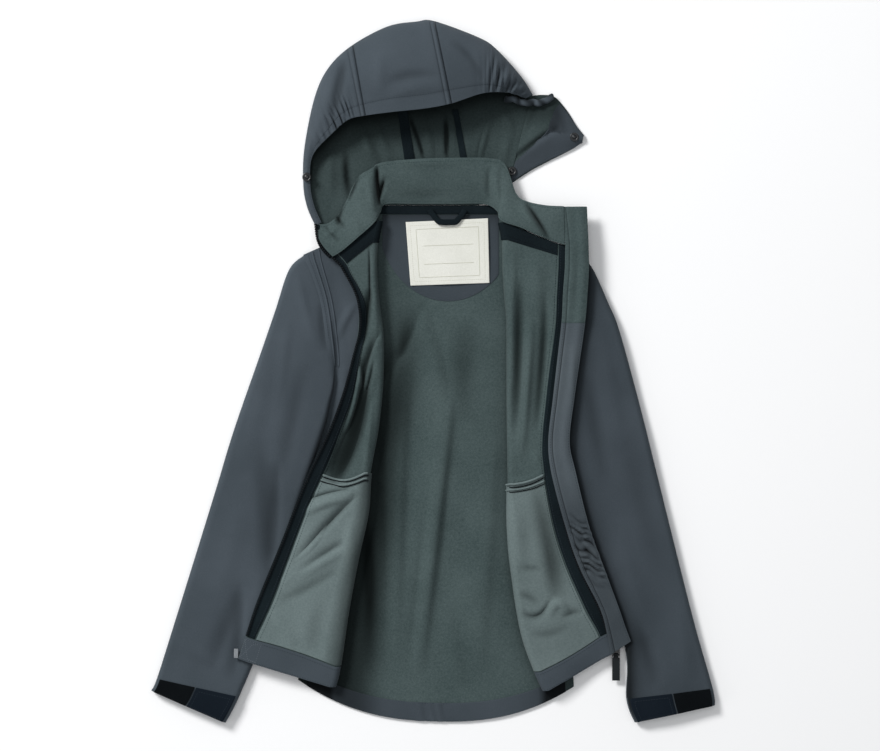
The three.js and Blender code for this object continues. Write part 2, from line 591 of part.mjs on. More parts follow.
const block = (x, y, z, width, length, height) => (
  toSolid(new THREE.BoxGeometry(width, length, height).translate(x, y, z)));
const bar = (x, y, z, radius, width, sides) => (
  toSolid(new THREE.CylinderGeometry(radius, radius, width, sides).rotateZ(Math.PI / 2).translate(x, y, z)));

// The slider's two lugs carry a pin across, and the pull's eye turns on it
const pinY = SLIDER.y - SLIDER.length / 2 - PIN.back;
const lugY = SLIDER.y - SLIDER.length / 2 - LUG.reach / 2 + LUG.bite;
let slider = block(SLIDER.x, SLIDER.y, SLIDER.z, SLIDER.width, SLIDER.length, SLIDER.height);
for (const side of [-1, 1]) {
  const lugX = SLIDER.x + side * (LUG.inner + LUG.thickness / 2);
  slider = slider.add(block(lugX, lugY, SLIDER.z, LUG.thickness, LUG.reach, LUG.height));
}
slider = slider.add(bar(SLIDER.x, pinY, SLIDER.z, PIN.radius, 2 * LUG.inner + LUG.thickness, 12));
add('zip_slider', toGeometry(slider), TRIM, 0.45, 0.6);

const tabY = pinY - PULL.neck - PULL.length / 2;
let pull = bar(SLIDER.x, pinY, SLIDER.z, PULL.eyeRadius, PULL.eye, 16);
const neckY = pinY - PULL.neck / 2 - PULL_BITE;
pull = pull.add(block(SLIDER.x, neckY, SLIDER.z, PULL.eye, PULL.neck, PULL.thickness));
pull = pull.add(block(SLIDER.x, tabY, SLIDER.z, PULL.width, PULL.length, PULL.thickness));
pull = pull.subtract(bar(SLIDER.x, pinY, SLIDER.z, PULL.hole, 2 * PULL.eye, 12));
add('zip_pull', toGeometry(pull), TRIM, 0.7);

export default jacket;
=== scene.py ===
"""A child's softshell jacket, laid on its back with both fronts folded open, in its studio."""

import math

import bpy
import numpy as np
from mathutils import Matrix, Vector


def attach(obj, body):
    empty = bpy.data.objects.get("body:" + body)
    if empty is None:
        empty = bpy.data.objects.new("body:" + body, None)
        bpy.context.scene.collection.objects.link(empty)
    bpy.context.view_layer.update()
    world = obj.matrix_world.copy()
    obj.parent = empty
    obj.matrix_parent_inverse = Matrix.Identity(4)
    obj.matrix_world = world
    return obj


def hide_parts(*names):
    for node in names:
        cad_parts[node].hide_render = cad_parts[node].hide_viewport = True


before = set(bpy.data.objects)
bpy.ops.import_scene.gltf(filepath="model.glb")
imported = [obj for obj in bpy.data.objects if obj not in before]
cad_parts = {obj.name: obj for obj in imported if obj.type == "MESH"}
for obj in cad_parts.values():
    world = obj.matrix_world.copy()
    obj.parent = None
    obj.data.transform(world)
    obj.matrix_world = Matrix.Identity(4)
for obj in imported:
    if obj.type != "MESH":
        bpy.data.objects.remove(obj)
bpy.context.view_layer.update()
MM = 0.001

# Studio
# A white floor seen from straight above through a long lens, as flat garments are photographed. A soft
# key light stands towards the upper left, a wide weak one fills from above and a small one from low left.
MIDDLE = Vector((7.4, -4.1, 0)) * MM
MM_PER_PIXEL = 1.1
IMAGE_WIDTH = 880
CAMERA_HEIGHT = 3.2
FLOOR_SIZE = 12.0
FLOOR_BELOW = 0.0004
SKY_STRENGTH = 0.28


def aim(thing, target):
    """Turns a camera or light so that its -Z looks at the target, with its Y up the picture."""
    thing.rotation_euler = (target - thing.location).to_track_quat("-Z", "Y").to_euler()


def area_light(name, place, size, watts, colour=(1, 1, 1)):
    """A square soft light at a place, aimed at the middle of the jacket."""
    lamp = bpy.data.lights.new(name, "AREA")
    lamp.shape = "SQUARE"
    lamp.size = size
    lamp.energy = watts
    lamp.color = colour
    light = bpy.data.objects.new(name, lamp)
    light.location = place
    bpy.context.scene.collection.objects.link(light)
    aim(light, MIDDLE)


lens = bpy.data.cameras.new("camera")
lens.sensor_width = 36
lens.lens = lens.sensor_width * CAMERA_HEIGHT / (IMAGE_WIDTH * MM_PER_PIXEL * MM)
lens.clip_end = 50
camera = bpy.data.objects.new("camera", lens)
camera.location = MIDDLE + Vector((0, 0, CAMERA_HEIGHT))
bpy.context.scene.collection.objects.link(camera)
bpy.context.scene.camera = camera
bpy.context.scene.view_settings.view_transform = "Standard"

area_light("key", Vector((-2.7, 2.5, 3.1)), 1.3, 205)
area_light("top", Vector((0.2, 0.1, 3.0)), 2.4, 22)
area_light("low_left", Vector((-2.2, -0.9, 1.0)), 1.2, 5)

world = bpy.data.worlds.new("studio")
world.use_nodes = True
sky = world.node_tree.nodes["Background"].inputs
sky["Color"].default_value = (0.93, 0.96, 1.0, 1)
sky["Strength"].default_value = SKY_STRENGTH
bpy.context.scene.world = world


def plain_material(name, colour, roughness):
    """A Principled material of one colour, for what isn't part of the jacket."""
    material = bpy.data.materials.new(name)
    material.use_nodes = True
    shader = material.node_tree.nodes["Principled BSDF"]
    shader.inputs["Base Color"].default_value = (*colour, 1)
    shader.inputs["Roughness"].default_value = roughness
    shader.inputs["Specular IOR Level"].default_value = 0.1
    return material


half = FLOOR_SIZE / 2
floor_corners = [(half * x, half * y, -FLOOR_BELOW) for x, y in ((-1, -1), (1, -1), (1, 1), (-1, 1))]
floor_mesh = bpy.data.meshes.new("floor")
floor_mesh.from_pydata(floor_corners, [], [(0, 1, 2, 3)])
floor_mesh.materials.append(plain_material("floor", (0.97, 0.97, 0.97), 0.9))
floor = bpy.data.objects.new("floor", floor_mesh)
bpy.context.scene.collection.objects.link(floor)

# Back panel
# The back of the jacket, shell cloth with brushed fleece bonded to its inside, seen fleece side up
# between the two fronts. It is one panel from the neck to the drop hem, with two long soft folds.
CLOTH = 1.8
FLOOR_MID = CLOTH / 2
HEM_POWER = 2.4
BACK_ROWS = [
    # left x, left y, right x, right y, how far the middle hangs below the ends
    (-148.5, -338.6, 154.6, -346.0, 42),
    (-147.6, -322, 153.4, -328, 38),
    (-143, -270, 148.6, -270, 22),
    (-135, -200, 141.6, -200, 7),
    (-126, -105, 130.6, -105, 0),
    (-118, -5, 120.4, -5, 0),
    (-113, 45, 123.4, 45, 0),
    (-120, 83, 130.6, 83, 0),
    (-138, 124, 146.2, 124, 0),
    (-104, 148, 113, 148, 0),
    (-64, 173.2, 76, 173.2, 0),
    (-56.4, 182.8, 68.6, 182.8, 0),
]
BACK_CREASES = [
    # start x, start y, bend x, bend y, end x, end y, height, near width, far width, share where it is highest
    (20, -20, 10, -110, -16, -335, 7.5, 6, 20, 0.6),
    (-30, 20, -38, -120, -44, -330, 4.5, 7, 22, 0.5),
    (66, -60, 62, -180, 48, -330, 3.0, 8, 22, 0.5),
    (-2, -110, -12, -210, -26, -330, -3.4, 4, 7, 0.6),
    (-8, 86, -24, 40, -60, -20, -3.0, 5, 13, 0.6),
    (-52, -20, -50, -160, -52, -330, -3.4, 9, 12, 0.5),
    (38, 60, 30, 10, 34, -60, -2.2, 12, 14, 0.5),
    (-20, 84, -2, 30, 12, -30, 3.0, 8, 14, 0.7),
    (-44, 60, -40, 0, -44, -60, 1.8, 8, 8, 0.5),
    (10, -250, 24, -300, 30, -350, 1.8, 7, 10, 0.5),
    (-74, -150, -66, -240, -70, -330, -1.8, 8, 8, 0.5),
]
CREASE_STEPS = 28


def along(rows, places):
    """Catmull-Rom through a table's rows: for t past row i, b + t/2 (c-a + t(2a-5b+4c-d + t(3b-3c+d-a)))."""
    table = np.asarray(rows, float)
    places = np.asarray(places, float)
    last = len(table) - 1
    i = np.minimum(np.floor(places).astype(int), last - 1)
    t = (places - i).reshape(places.shape + (1,) * (table.ndim - 1))
    a, b, c, d = (table[np.clip(i + k, 0, last)] for k in (-1, 0, 1, 2))
    return b + 0.5 * t * (c - a + t * (2 * a - 5 * b + 4 * c - d + t * (3 * b - 3 * c + d - a)))


def columns_at(rows, places):
    """Each column of a table at row places, shaped to spread across a grid."""
    return np.moveaxis(along(rows, places)[:, None, :], -1, 0)


def creases(x, y, rows):
    """Height of soft folds at x, y: each is height * exp(-(d/w)^2) about a bent line, where d is the
    distance to it and w its width on that side, faded in and out along the line towards its peak."""
    total = np.zeros_like(x)
    for x0, y0, bx, by, x1, y1, height, near, far, peak in rows:
        s = np.linspace(0, 1, CREASE_STEPS)
        lx = (1 - s) ** 2 * x0 + 2 * s * (1 - s) * bx + s * s * x1
        ly = (1 - s) ** 2 * y0 + 2 * s * (1 - s) * by + s * s * y1
        reach = 3 * max(near, far)
        close = ((x > lx.min() - reach) & (x < lx.max() + reach)
                 & (y > ly.min() - reach) & (y < ly.max() + reach))
        px, py = x[close], y[close]
        best = np.full(px.shape, 1e9)
        side = np.zeros(px.shape)
        share = np.zeros(px.shape)
        for k in range(len(s) - 1):
            ex, ey = lx[k + 1] - lx[k], ly[k + 1] - ly[k]
            long = ex * ex + ey * ey + 1e-9
            u = np.clip(((px - lx[k]) * ex + (py - ly[k]) * ey) / long, 0, 1)
            dx, dy = px - lx[k] - u * ex, py - ly[k] - u * ey
            d = np.hypot(dx, dy)
            nearer = d < best
            best = np.where(nearer, d, best)
            side = np.where(nearer, ex * dy - ey * dx, side)
            share = np.where(nearer, (k + u) / (len(s) - 1), share)
        width = np.where(side > 0, near, far)
        fade = np.where(share < peak, share / peak, (1 - share) / (1 - peak))
        total[close] += height * np.exp(-(best / width) ** 2) * np.sin(np.pi / 2 * np.clip(fade, 0, 1)) ** 0.8
    return total


def ripple(x, y, seed, size, height):
    """Slow uneven waviness: the mean of five sine waves of about one size in seeded directions."""
    rng = np.random.default_rng(seed)
    total = np.zeros_like(x)
    for _ in range(5):
        turn, start = rng.uniform(0, 2 * np.pi, 2)
        rate = 2 * np.pi / (size * rng.uniform(0.7, 1.5))
        total += np.sin(rate * (x * np.cos(turn) + y * np.sin(turn)) + start)
    return total * height / 5


def bell(value, middle, width, power=2):
    """Bell curve, 1 at the middle: exp(-(|value - middle| / width)^power)."""
    return np.exp(-(np.abs(value - middle) / width) ** power)


def rise(value, start, end):
    """Straight rise from 0 at start to 1 at end, which may be the smaller, and level beyond both."""
    return np.clip((value - start) / (end - start), 0, 1)


def dents(points, rows, deep, most):
    """How shaded cloth is in its own hollows: their depth over deep millimetres, and most at the most."""
    return np.clip(-creases(points[..., 0], points[..., 1], rows) / deep, 0, most)


def uprights(points, round_across=False):
    """Unit normals of a grid of points: the cross product of its steps across and along."""
    lengthwise = np.gradient(points, axis=0)
    if round_across:
        across = (np.roll(points, -1, 1) - np.roll(points, 1, 1)) / 2
    else:
        across = np.gradient(points, axis=1)
    normals = np.cross(across, lengthwise)
    return normals / np.maximum(np.linalg.norm(normals, axis=2, keepdims=True), 1e-9)


def moved_out(points, distance):
    """The grid moved along its uprights, turned so that most of them look up."""
    normals = uprights(points)
    if normals[..., 2].sum() < 0:
        normals = -normals
    return points + normals * (distance[..., None] if np.ndim(distance) else distance)


def mesh_piece(name, corners, faces, materials, uv=None, sides=None):
    """A new object from corners in millimetres and equal-sided faces, with a UV map in metres from
    millimetres if given, and each face's material number if there is more than one."""
    mesh = bpy.data.meshes.new(name)
    flat = np.asarray(faces, np.int32)
    mesh.vertices.add(len(corners))
    mesh.vertices.foreach_set("co", (np.asarray(corners, float) * MM).astype(np.float32).ravel())
    mesh.loops.add(flat.size)
    mesh.loops.foreach_set("vertex_index", flat.ravel())
    mesh.polygons.add(len(flat))
    mesh.polygons.foreach_set("loop_start", np.arange(len(flat), dtype=np.int32) * flat.shape[1])
    mesh.polygons.foreach_set("use_smooth", np.ones(len(flat), bool))
    if sides is not None:
        mesh.polygons.foreach_set("material_index", np.asarray(sides, np.int32))
    if uv is not None:
        layer = mesh.uv_layers.new(name="cloth")
        layer.data.foreach_set("uv", (np.asarray(uv, float)[flat.ravel()] * MM).astype(np.float32).ravel())
    mesh.update(calc_edges=True)
    mesh.validate()
    for material in materials:
        mesh.materials.append(material)
    piece = bpy.data.objects.new(name, mesh)
    bpy.context.scene.collection.objects.link(piece)
    return piece


def shade_points(piece, deep):
    """Gives each corner of a piece its painted shade, 0 lit to 1 darkest, which its finish paints into its
    colour.
    """
    attribute = piece.data.attributes.new("painted_shade", "FLOAT", "POINT")
    attribute.data.foreach_set("value", np.clip(deep, 0, 1).ravel().astype(np.float32))


RIM_SHARE = 0.3
RIM_ANGLE = math.radians(50)


def cloth_wall(name, points, thickness, upper, under=None, lift=0.0, round_across=False, show=slice(None),
               painted_shade=None):
    """A closed wall of cloth round a grid of points (rows, columns, xyz): the grid moved half its
    thickness to each side along its uprights and joined at its rims. upper is the finish of the side
    that looks up over the columns in show, or outwards on a tube, and under that of the other side."""
    high, wide = points.shape[:2]
    normals = uprights(points, round_across)
    outward = points - points.mean(1, keepdims=True) if round_across else np.array([0, 0, 1.0])
    if (normals * outward)[:, show].sum() < 0:
        normals = -normals
    middle = points + normals * lift
    half = normals * (thickness / 2)
    corners = np.concatenate([(middle + half).reshape(-1, 3), (middle - half).reshape(-1, 3)])
    upward = np.linalg.norm(np.diff(points, axis=0, prepend=points[:1]), axis=2).mean(1).cumsum()
    sideways = np.linalg.norm(np.diff(points, axis=1, prepend=points[:, :1]), axis=2).mean(0).cumsum()
    uv = np.stack(np.meshgrid(sideways, upward), 2).reshape(-1, 2)
    index = np.arange(high * wide).reshape(high, wide)
    left = index if round_across else index[:, :-1]
    right = np.roll(index, -1, 1) if round_across else index[:, 1:]
    n = high * wide
    sheet = np.stack([left[:-1], right[:-1], right[1:], left[1:]], 2).reshape(-1, 4)
    rims = [np.stack([left[0], left[0] + n, right[0] + n, right[0]], 1),
            np.stack([left[-1], right[-1], right[-1] + n, left[-1] + n], 1)]
    if not round_across:
        first, last = index[:, 0], index[:, -1]
        rims.append(np.stack([first[:-1], first[1:], first[1:] + n, first[:-1] + n], 1))
        rims.append(np.stack([last[:-1], last[:-1] + n, last[1:] + n, last[1:]], 1))
    faces = np.concatenate([sheet, sheet[:, ::-1] + n] + rims)
    a, b, c = (corners[faces[:, k]] for k in range(3))
    if np.einsum("ij,ij->", a, np.cross(b, c)) < 0:
        faces = faces[:, ::-1]
    sides = np.zeros(len(faces), int)
    sides[len(sheet):2 * len(sheet)] = 0 if under is None else 1
    finishes = [upper] if under is None else [upper, under]
    piece = mesh_piece(name, corners, faces, finishes, np.concatenate([uv, uv]), sides)
    if painted_shade is not None:
        shade_points(piece, np.stack([painted_shade, painted_shade]))
    rounding = piece.modifiers.new("rounded rim", "BEVEL")
    rounding.width = thickness * RIM_SHARE * MM
    rounding.segments = 2
    rounding.limit_method = "ANGLE"
    rounding.angle_limit = RIM_ANGLE
    return piece


def wear(piece, slot, *nodes, held="laid", on=()):
    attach(piece, "jacket")
    if nodes:
        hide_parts(*nodes)
    return piece


def paint(red, green, blue):
    """Scene-linear colour of an sRGB one given from 0 to 255: the usual power-law decode."""
    s = np.array([red, green, blue]) / 255
    return tuple(float(v) for v in np.where(s <= 0.04045, s / 12.92, ((s + 0.055) / 1.055) ** 2.4))


def shader_group(name, inputs):
    """A new shader node group whose inputs are vectors, or numbers where they have a default, and whose
    outputs are Tone and Height, with its two ends."""
    group = bpy.data.node_groups.new(name, "ShaderNodeTree")
    for label, value in inputs.items():
        kind = "NodeSocketVector" if value is None else "NodeSocketFloat"
        socket = group.interface.new_socket(name=label, in_out="INPUT", socket_type=kind)
        if value is not None:
            socket.default_value = value
    for label in ("Tone", "Height"):
        group.interface.new_socket(name=label, in_out="OUTPUT", socket_type="NodeSocketFloat")
    return group, group.nodes.new("NodeGroupInput").outputs, group.nodes.new("NodeGroupOutput").inputs


def math_node(tree, kind, first, second=0.0):
    """The output of a Math node of two values or sockets."""
    node = tree.nodes.new("ShaderNodeMath")
    node.operation = kind
    for socket, value in zip(node.inputs, (first, second)):
        if isinstance(value, (int, float)):
            socket.default_value = value
        else:
            tree.links.new(value, socket)
    return node.outputs[0]


def mix_of(tree, first, share, second):
    """The first socket times its share plus the second times the rest."""
    return math_node(tree, "ADD", math_node(tree, "MULTIPLY", first, share),
                     math_node(tree, "MULTIPLY", second, 1 - share))


def noise_node(tree, vector, scale, detail=2.0, roughness=0.5):
    """The value of a Noise Texture at a vector."""
    node = tree.nodes.new("ShaderNodeTexNoise")
    node.inputs["Detail"].default_value = detail
    node.inputs["Roughness"].default_value = roughness
    if isinstance(scale, (int, float)):
        node.inputs["Scale"].default_value = scale
    else:
        tree.links.new(scale, node.inputs["Scale"])
    tree.links.new(vector, node.inputs["Vector"])
    return node.outputs["Fac"]


def nap_group():
    """Brushed fleece. Tone is slow patches, tufts and fine pile added up, each a noise about 0.5, and
    Height the tufts and pile alone."""
    group, start, end = shader_group("brushed_nap", {"Vector": None, "Tuft": 420.0, "Pile": 1300.0})
    patches = noise_node(group, start["Vector"], 16.0, 3.0)
    tufts = noise_node(group, start["Vector"], start["Tuft"], 4.0, 0.65)
    pile = noise_node(group, start["Vector"], start["Pile"], 2.0, 0.6)
    fine = mix_of(group, tufts, 0.55, pile)
    group.links.new(mix_of(group, patches, 0.3, fine), end["Tone"])
    group.links.new(fine, end["Height"])
    return group


def weave_group():
    """Plain weave along the cloth's UV: Height is |sin u sin v| at a half turn for each yarn, and Tone a
    fine heather, the mean of a yarn-long noise and a slow one."""
    group, start, end = shader_group("plain_weave", {"Cloth": None, "Vector": None, "Yarns": 1500.0})
    apart = group.nodes.new("ShaderNodeSeparateXYZ")
    group.links.new(start["Cloth"], apart.inputs[0])
    waves = []
    for axis in ("X", "Y"):
        turns = math_node(group, "MULTIPLY", apart.outputs[axis], start["Yarns"])
        waves.append(math_node(group, "SINE", math_node(group, "MULTIPLY", turns, math.pi)))
    heather = noise_node(group, start["Vector"], 900.0, 3.0, 0.7)
    slow = noise_node(group, start["Vector"], 12.0, 3.0)
    group.links.new(mix_of(group, heather, 0.45, slow), end["Tone"])
    group.links.new(math_node(group, "ABSOLUTE", math_node(group, "MULTIPLY", *waves)), end["Height"])
    return group


def grain_group():
    """Fine grain of moulded, enamelled and spun things: Height is a tight noise, and Tone that noise with
    slow wear, a third of it, added."""
    group, start, end = shader_group("fine_grain", {"Vector": None, "Grain": 1800.0})
    grain = noise_node(group, start["Vector"], start["Grain"], 3.0, 0.6)
    worn = noise_node(group, start["Vector"], 140.0, 3.0)
    group.links.new(mix_of(group, grain, 0.65, worn), end["Tone"])
    group.links.new(grain, end["Height"])
    return group


NAP, WEAVE, GRAIN = nap_group(), weave_group(), grain_group()
DARK_AT, LIGHT_AT = 0.32, 0.68
# Share of a finish's dark colour that is left where its painted shade is full.
PAINTED_SHADE_REMAINS = 0.12


def fabric(name, group, dark, light, roughness, sheen, bump, settings=None, shine=0.06, metal=0.0):
    """A Principled finish: the group's Tone picks a colour between dark and light, and its Height bumps
    the surface by bump millimetres. The group's other inputs are in settings, and shine is the specular
    level. Painted shade darkens the colour towards near black as the piece's painted shade attribute
    goes to 1. It stands for the shade in folds and the shadows that parts cast on each other."""
    material = bpy.data.materials.new(name)
    material.use_nodes = True
    tree = material.node_tree
    shader = tree.nodes["Principled BSDF"]
    shader.inputs["Roughness"].default_value = roughness
    shader.inputs["Specular IOR Level"].default_value = shine
    shader.inputs["Metallic"].default_value = metal
    shader.inputs["Sheen Weight"].default_value = sheen
    shader.inputs["Sheen Roughness"].default_value = 0.5
    coordinates = tree.nodes.new("ShaderNodeTexCoord")
    pattern = tree.nodes.new("ShaderNodeGroup")
    pattern.node_tree = group
    tree.links.new(coordinates.outputs["Object"], pattern.inputs["Vector"])
    if "Cloth" in pattern.inputs:
        tree.links.new(coordinates.outputs["UV"], pattern.inputs["Cloth"])
    for label, value in (settings or {}).items():
        pattern.inputs[label].default_value = value
    ramp = tree.nodes.new("ShaderNodeValToRGB")
    for end, place, colour in zip(ramp.color_ramp.elements, (DARK_AT, LIGHT_AT), (dark, light)):
        end.position = place
        end.color = (*paint(*colour), 1)
    tree.links.new(pattern.outputs["Tone"], ramp.inputs["Fac"])
    painted_shade = tree.nodes.new("ShaderNodeAttribute")
    painted_shade.attribute_name = "painted_shade"
    shade = tree.nodes.new("ShaderNodeMix")
    shade.data_type = "RGBA"
    tree.links.new(painted_shade.outputs["Fac"], shade.inputs["Factor"])
    tree.links.new(ramp.outputs["Color"], shade.inputs["A"])
    shade.inputs["B"].default_value = (*[PAINTED_SHADE_REMAINS * c for c in paint(*dark)], 1)
    tree.links.new(shade.outputs["Result"], shader.inputs["Base Color"])
    relief = tree.nodes.new("ShaderNodeBump")
    relief.inputs["Strength"].default_value = 1.0
    relief.inputs["Distance"].default_value = bump * MM
    tree.links.new(pattern.outputs["Height"], relief.inputs["Height"])
    tree.links.new(relief.outputs["Normal"], shader.inputs["Normal"])
    return material


SHELL = fabric("shell", WEAVE, (61, 69, 75), (75, 83, 90), 0.8, 0.03, 0.1)
FLEECE = fabric("fleece", NAP, (50, 63, 63), (82, 95, 95), 0.95, 0.05, 0.4)


def on_floor(x, y):
    """Points of the back's cloth at x, y: z is the floor, raised by the creases and a slow ripple."""
    fold = creases(x, y, BACK_CREASES) + ripple(x, y, 3, 90, 0.9)
    return np.stack([x, y, FLOOR_MID + np.maximum(fold, 0)], 2)


def back_points(low, high, left, right, rows, columns):
    """Back panel between two row places and two shares s of its width: x and y between its edges, with y
    hung by bow * (1 - |2s - 1|^power)."""
    place, share = np.meshgrid(np.linspace(low, high, rows), np.linspace(left, right, columns), indexing="ij")
    row = along(BACK_ROWS, place)
    x = row[..., 0] + (row[..., 2] - row[..., 0]) * share
    y = row[..., 1] + (row[..., 3] - row[..., 1]) * share
    return on_floor(x, y - row[..., 4] * (1 - np.abs(2 * share - 1) ** HEM_POWER))


# Back neck tape
# A dark ribbed tape covers the back neck's seam and is sewn flat to the fleece. It runs from one shoulder
# of the neck to the other.
SKIN_GAP = 0.35
TAPE = 0.8
NECK_LOW, NECK_HIGH = 173.2, 182.8
NECK_LEFT, NECK_RIGHT = -59, 72


def over(thickness, between=0.0):
    """Distance from the middle of the cloth to the middle of a layer of this thickness lying on it."""
    return CLOTH / 2 + SKIN_GAP + between + thickness / 2


TAPE_CLOTH = fabric("ribbed_tape", WEAVE, (10, 16, 20), (26, 36, 40), 0.85, 0.0, 0.2, {"Yarns": 900.0})


def flat_rows(ys, lefts, rights, columns):
    """Rows of points on the back's cloth, one at each y, between its left and right x."""
    share = np.linspace(0, 1, columns)
    x = np.asarray(lefts)[:, None] + (np.asarray(rights) - np.asarray(lefts))[:, None] * share
    return on_floor(x, np.broadcast_to(np.asarray(ys)[:, None], x.shape))


neck = flat_rows(np.linspace(NECK_LOW, NECK_HIGH, 5), [NECK_LEFT] * 5, [NECK_RIGHT] * 5, 60)
wear(cloth_wall("back_neck_tape", neck, TAPE, TAPE_CLOTH, lift=over(TAPE)), "tape", "neck_tape_back")

# Label
# A plain woven care label, cream satin folded at its ends and sewn on all four sides. Its left edge
# hangs a little lower than its right one, and it lies over the neck facing.
FACING = 1.0
LABEL_THICK = 0.7
LABEL_WAVE = 0.7
LABEL_CORNERS = [(-25, 94.6), (61.7, 97.6), (60.1, 168.6), (-30.3, 164.4)]


def quad_points(corners, rows, columns):
    """Points of a quadrilateral on the back's cloth: the two-way mix of its low left, low right, high
    right and high left corners."""
    low_left, low_right, high_right, high_left = (np.array(c, float) for c in corners)
    up, along_x = np.meshgrid(np.linspace(0, 1, rows), np.linspace(0, 1, columns), indexing="ij")
    up, along_x = up[..., None], along_x[..., None]
    flat = (low_left * (1 - along_x) + low_right * along_x) * (1 - up)
    flat = flat + (high_left * (1 - along_x) + high_right * along_x) * up
    return on_floor(flat[..., 0], flat[..., 1])


LABEL_CLOTH = fabric("label_satin", WEAVE, (214, 214, 204), (238, 238, 230), 0.6, 0.05, 0.08,
                     {"Yarns": 2400.0})
label_points = quad_points(LABEL_CORNERS, 50, 60)
wave = LABEL_WAVE * np.sin(label_points[..., 0] / 11 + label_points[..., 1] / 16)
label_points[..., 2] += over(LABEL_THICK, FACING + SKIN_GAP) + wave
wear(cloth_wall("label", label_points, LABEL_THICK, LABEL_CLOTH), "label", "label")

# Fronts
# Each front lies folded open on itself: along the back panel, round a soft fold and back over itself to
# the zip, with its brushed fleece outside. The outer shell shows between the armhole seam and the zip.
FRONT_LEFT = [
    # side x, y, fold x, y, tape x, y, zip x, y, sag, side z, low z, high z, zip z
    (-147, -334, -108.7, -345.1, -204, -317.5, -213.4, -314, 0, 3.05, 5, 15, 16.6),
    (-146, -312, -103.2, -322.8, -195.8, -293.5, -205.4, -289.6, 2, 3.05, 5, 15.4, 16.9),
    (-142, -255, -94, -261, -176.4, -251.5, -192.8, -251.1, 0, 3.05, 5, 16, 17.6),
    (-135, -203, -83.6, -205, -154.3, -192.8, -169.2, -192.8, 0, 3.05, 5, 16, 17.8),
    (-129, -152, -72.8, -155, -136.5, -146, -150.5, -144.5, 0, 3.05, 5, 16, 17.8),
    (-133, -108, -69.3, -111, -121.2, -112.5, -136.5, -110, -7, 3.05, 5, 16, 17.8),
    (-130, -65, -61, -65, -101, -62, -114.4, -64.1, 0, 3.05, 5, 16, 17.6),
    (-123, -25, -56.5, -25, -88, -24, -99.5, -24, 0, 5, 5.5, 16.5, 17.4),
    (-115.6, 4, -54.9, 8, -81.6, 9, -90.2, 9.1, 0, 10, 7, 17.5, 18),
    (-118.6, 42, -55.6, 45, -74.8, 45, -82, 45, 0, 12.4, 8, 18.5, 18.5),
    (-124.3, 79, -59.9, 80, -76.4, 80, -83.6, 79.8, 0, 13, 8, 18.5, 18.5),
    (-134, 108, -62.4, 117, -90.5, 108, -98.6, 110.0, 0, 13, 8, 18, 18),
    (-139, 119, -61, 143.6, -95.8, 118.6, -103.4, 117, 0, 12, 7.5, 17, 17.5),
    (-142.4, 128, -57, 165.4, -104, 127.8, -112.4, 125.6, 0, 10, 7, 15, 17),
]
FRONT_RIGHT = [
    (153.5, -336, 121.8, -349, 184, -315.5, 196.1, -309.6, 0, 3.05, 5, 14, 8.6),
    (151.5, -312, 112.6, -328.6, 183, -290.6, 191.5, -286, -2, 3.05, 5, 15, 12),
    (147, -262, 97.4, -284, 166, -258.4, 183.6, -258, 0, 3.05, 5, 16, 15.5),
    (143, -213, 86.4, -215, 146, -213, 161, -213, 0, 3.05, 5, 16, 17.6),
    (138, -165, 82.6, -170, 132, -169, 146.8, -169, 0, 3.05, 5, 16, 17.8),
    (132, -118, 82.3, -123, 121, -112.5, 133.6, -111, -2, 3.05, 5, 16, 17.8),
    (127, -70, 81.6, -75, 119, -75.6, 131, -75.6, 0, 3.05, 5, 16, 17.8),
    (123, -25, 81.1, -31, 123.5, -30, 136, -30, 0, 3.05, 5.5, 16.5, 17.6),
    (120.8, 4, 80.9, 10, 128, 10, 140.5, 10, 0, 5, 7, 17.5, 18),
    (123, 45, 80.6, 55, 133.4, 55, 145.5, 55, 0, 8, 8, 18.5, 18.5),
    (129, 79, 78.5, 82, 135, 85, 147, 85, 0, 9, 8, 18.5, 18.5),
    (138, 107, 76.6, 112, 136.5, 112, 149, 112, 0, 9, 8, 18, 18),
    (143, 118, 75.8, 147, 136.9, 128.4, 149.4, 128.2, 0, 8, 7.5, 17, 17.5),
    (147.5, 126.4, 72.6, 163.4, 137.2, 139.4, 149.7, 139.2, 0, 7, 7, 15, 17),
]
LEFT_CREASES = [
    (-70, 137, -69.4, 105, -69, 72, -4.0, 1.6, 1.4, 0.6),
    (-69, 92, -72, 66, -76, 28, -7.0, 3.6, 4.5, 0.5),
    (-57, 44, -72, 22, -79, -30, -5.0, 1.4, 5, 0.55),
    (-76, 16, -77, -30, -90, -74, -7.0, 4, 7, 0.55),
    (-74, -16, -80, -66, -111, -126, -11.0, 7.5, 12, 0.65),
    (-80.6, 8, -80, -6, -79, -22, 3.0, 1.2, 1.6, 0.5),
    (-80, 4, -82, -30, -97, -68, 7.0, 2.6, 2.4, 0.5),
    (-64, 14, -74.5, -32, -86, -66, -5.0, 2.4, 2.2, 0.5),
    (-64.5, 130, -63, 60, -61, -10, 1.6, 3, 4, 0.5),
    (-66, -30, -70, -70, -76, -112, 2.6, 3.4, 3, 0.5),
    (-108, -70, -116, -96, -124, -112, 2.2, 3, 3, 0.5),
    (-136, -140, -114, -130, -90, -129, -3.4, 2.2, 2.8, 0.4),
    (-142, -156, -122, -141, -88, -137, 3.0, 4, 4, 0.5),
    (-80, -132, -108, -158, -154, -212, -4.6, 3.2, 5.5, 0.5),
    (-116, -168, -128, -190, -152, -208, 3.2, 1.6, 1.8, 0.5),
    (-97, -186, -114, -196, -160, -230, -3.4, 4, 5, 0.45),
    (-94, -195, -124, -207, -166, -232, 2.4, 5, 5, 0.5),
    (-100, -214, -134, -238, -170, -253, -2.0, 5, 6, 0.5),
    (-92, -160, -88, -190, -94, -230, 1.6, 6, 5, 0.5),
    (-120, -250, -132, -280, -130, -310, -1.2, 8, 8, 0.5),
    (-176, -262, -160, -285, -150, -300, 2.0, 6, 6, 0.5),
]
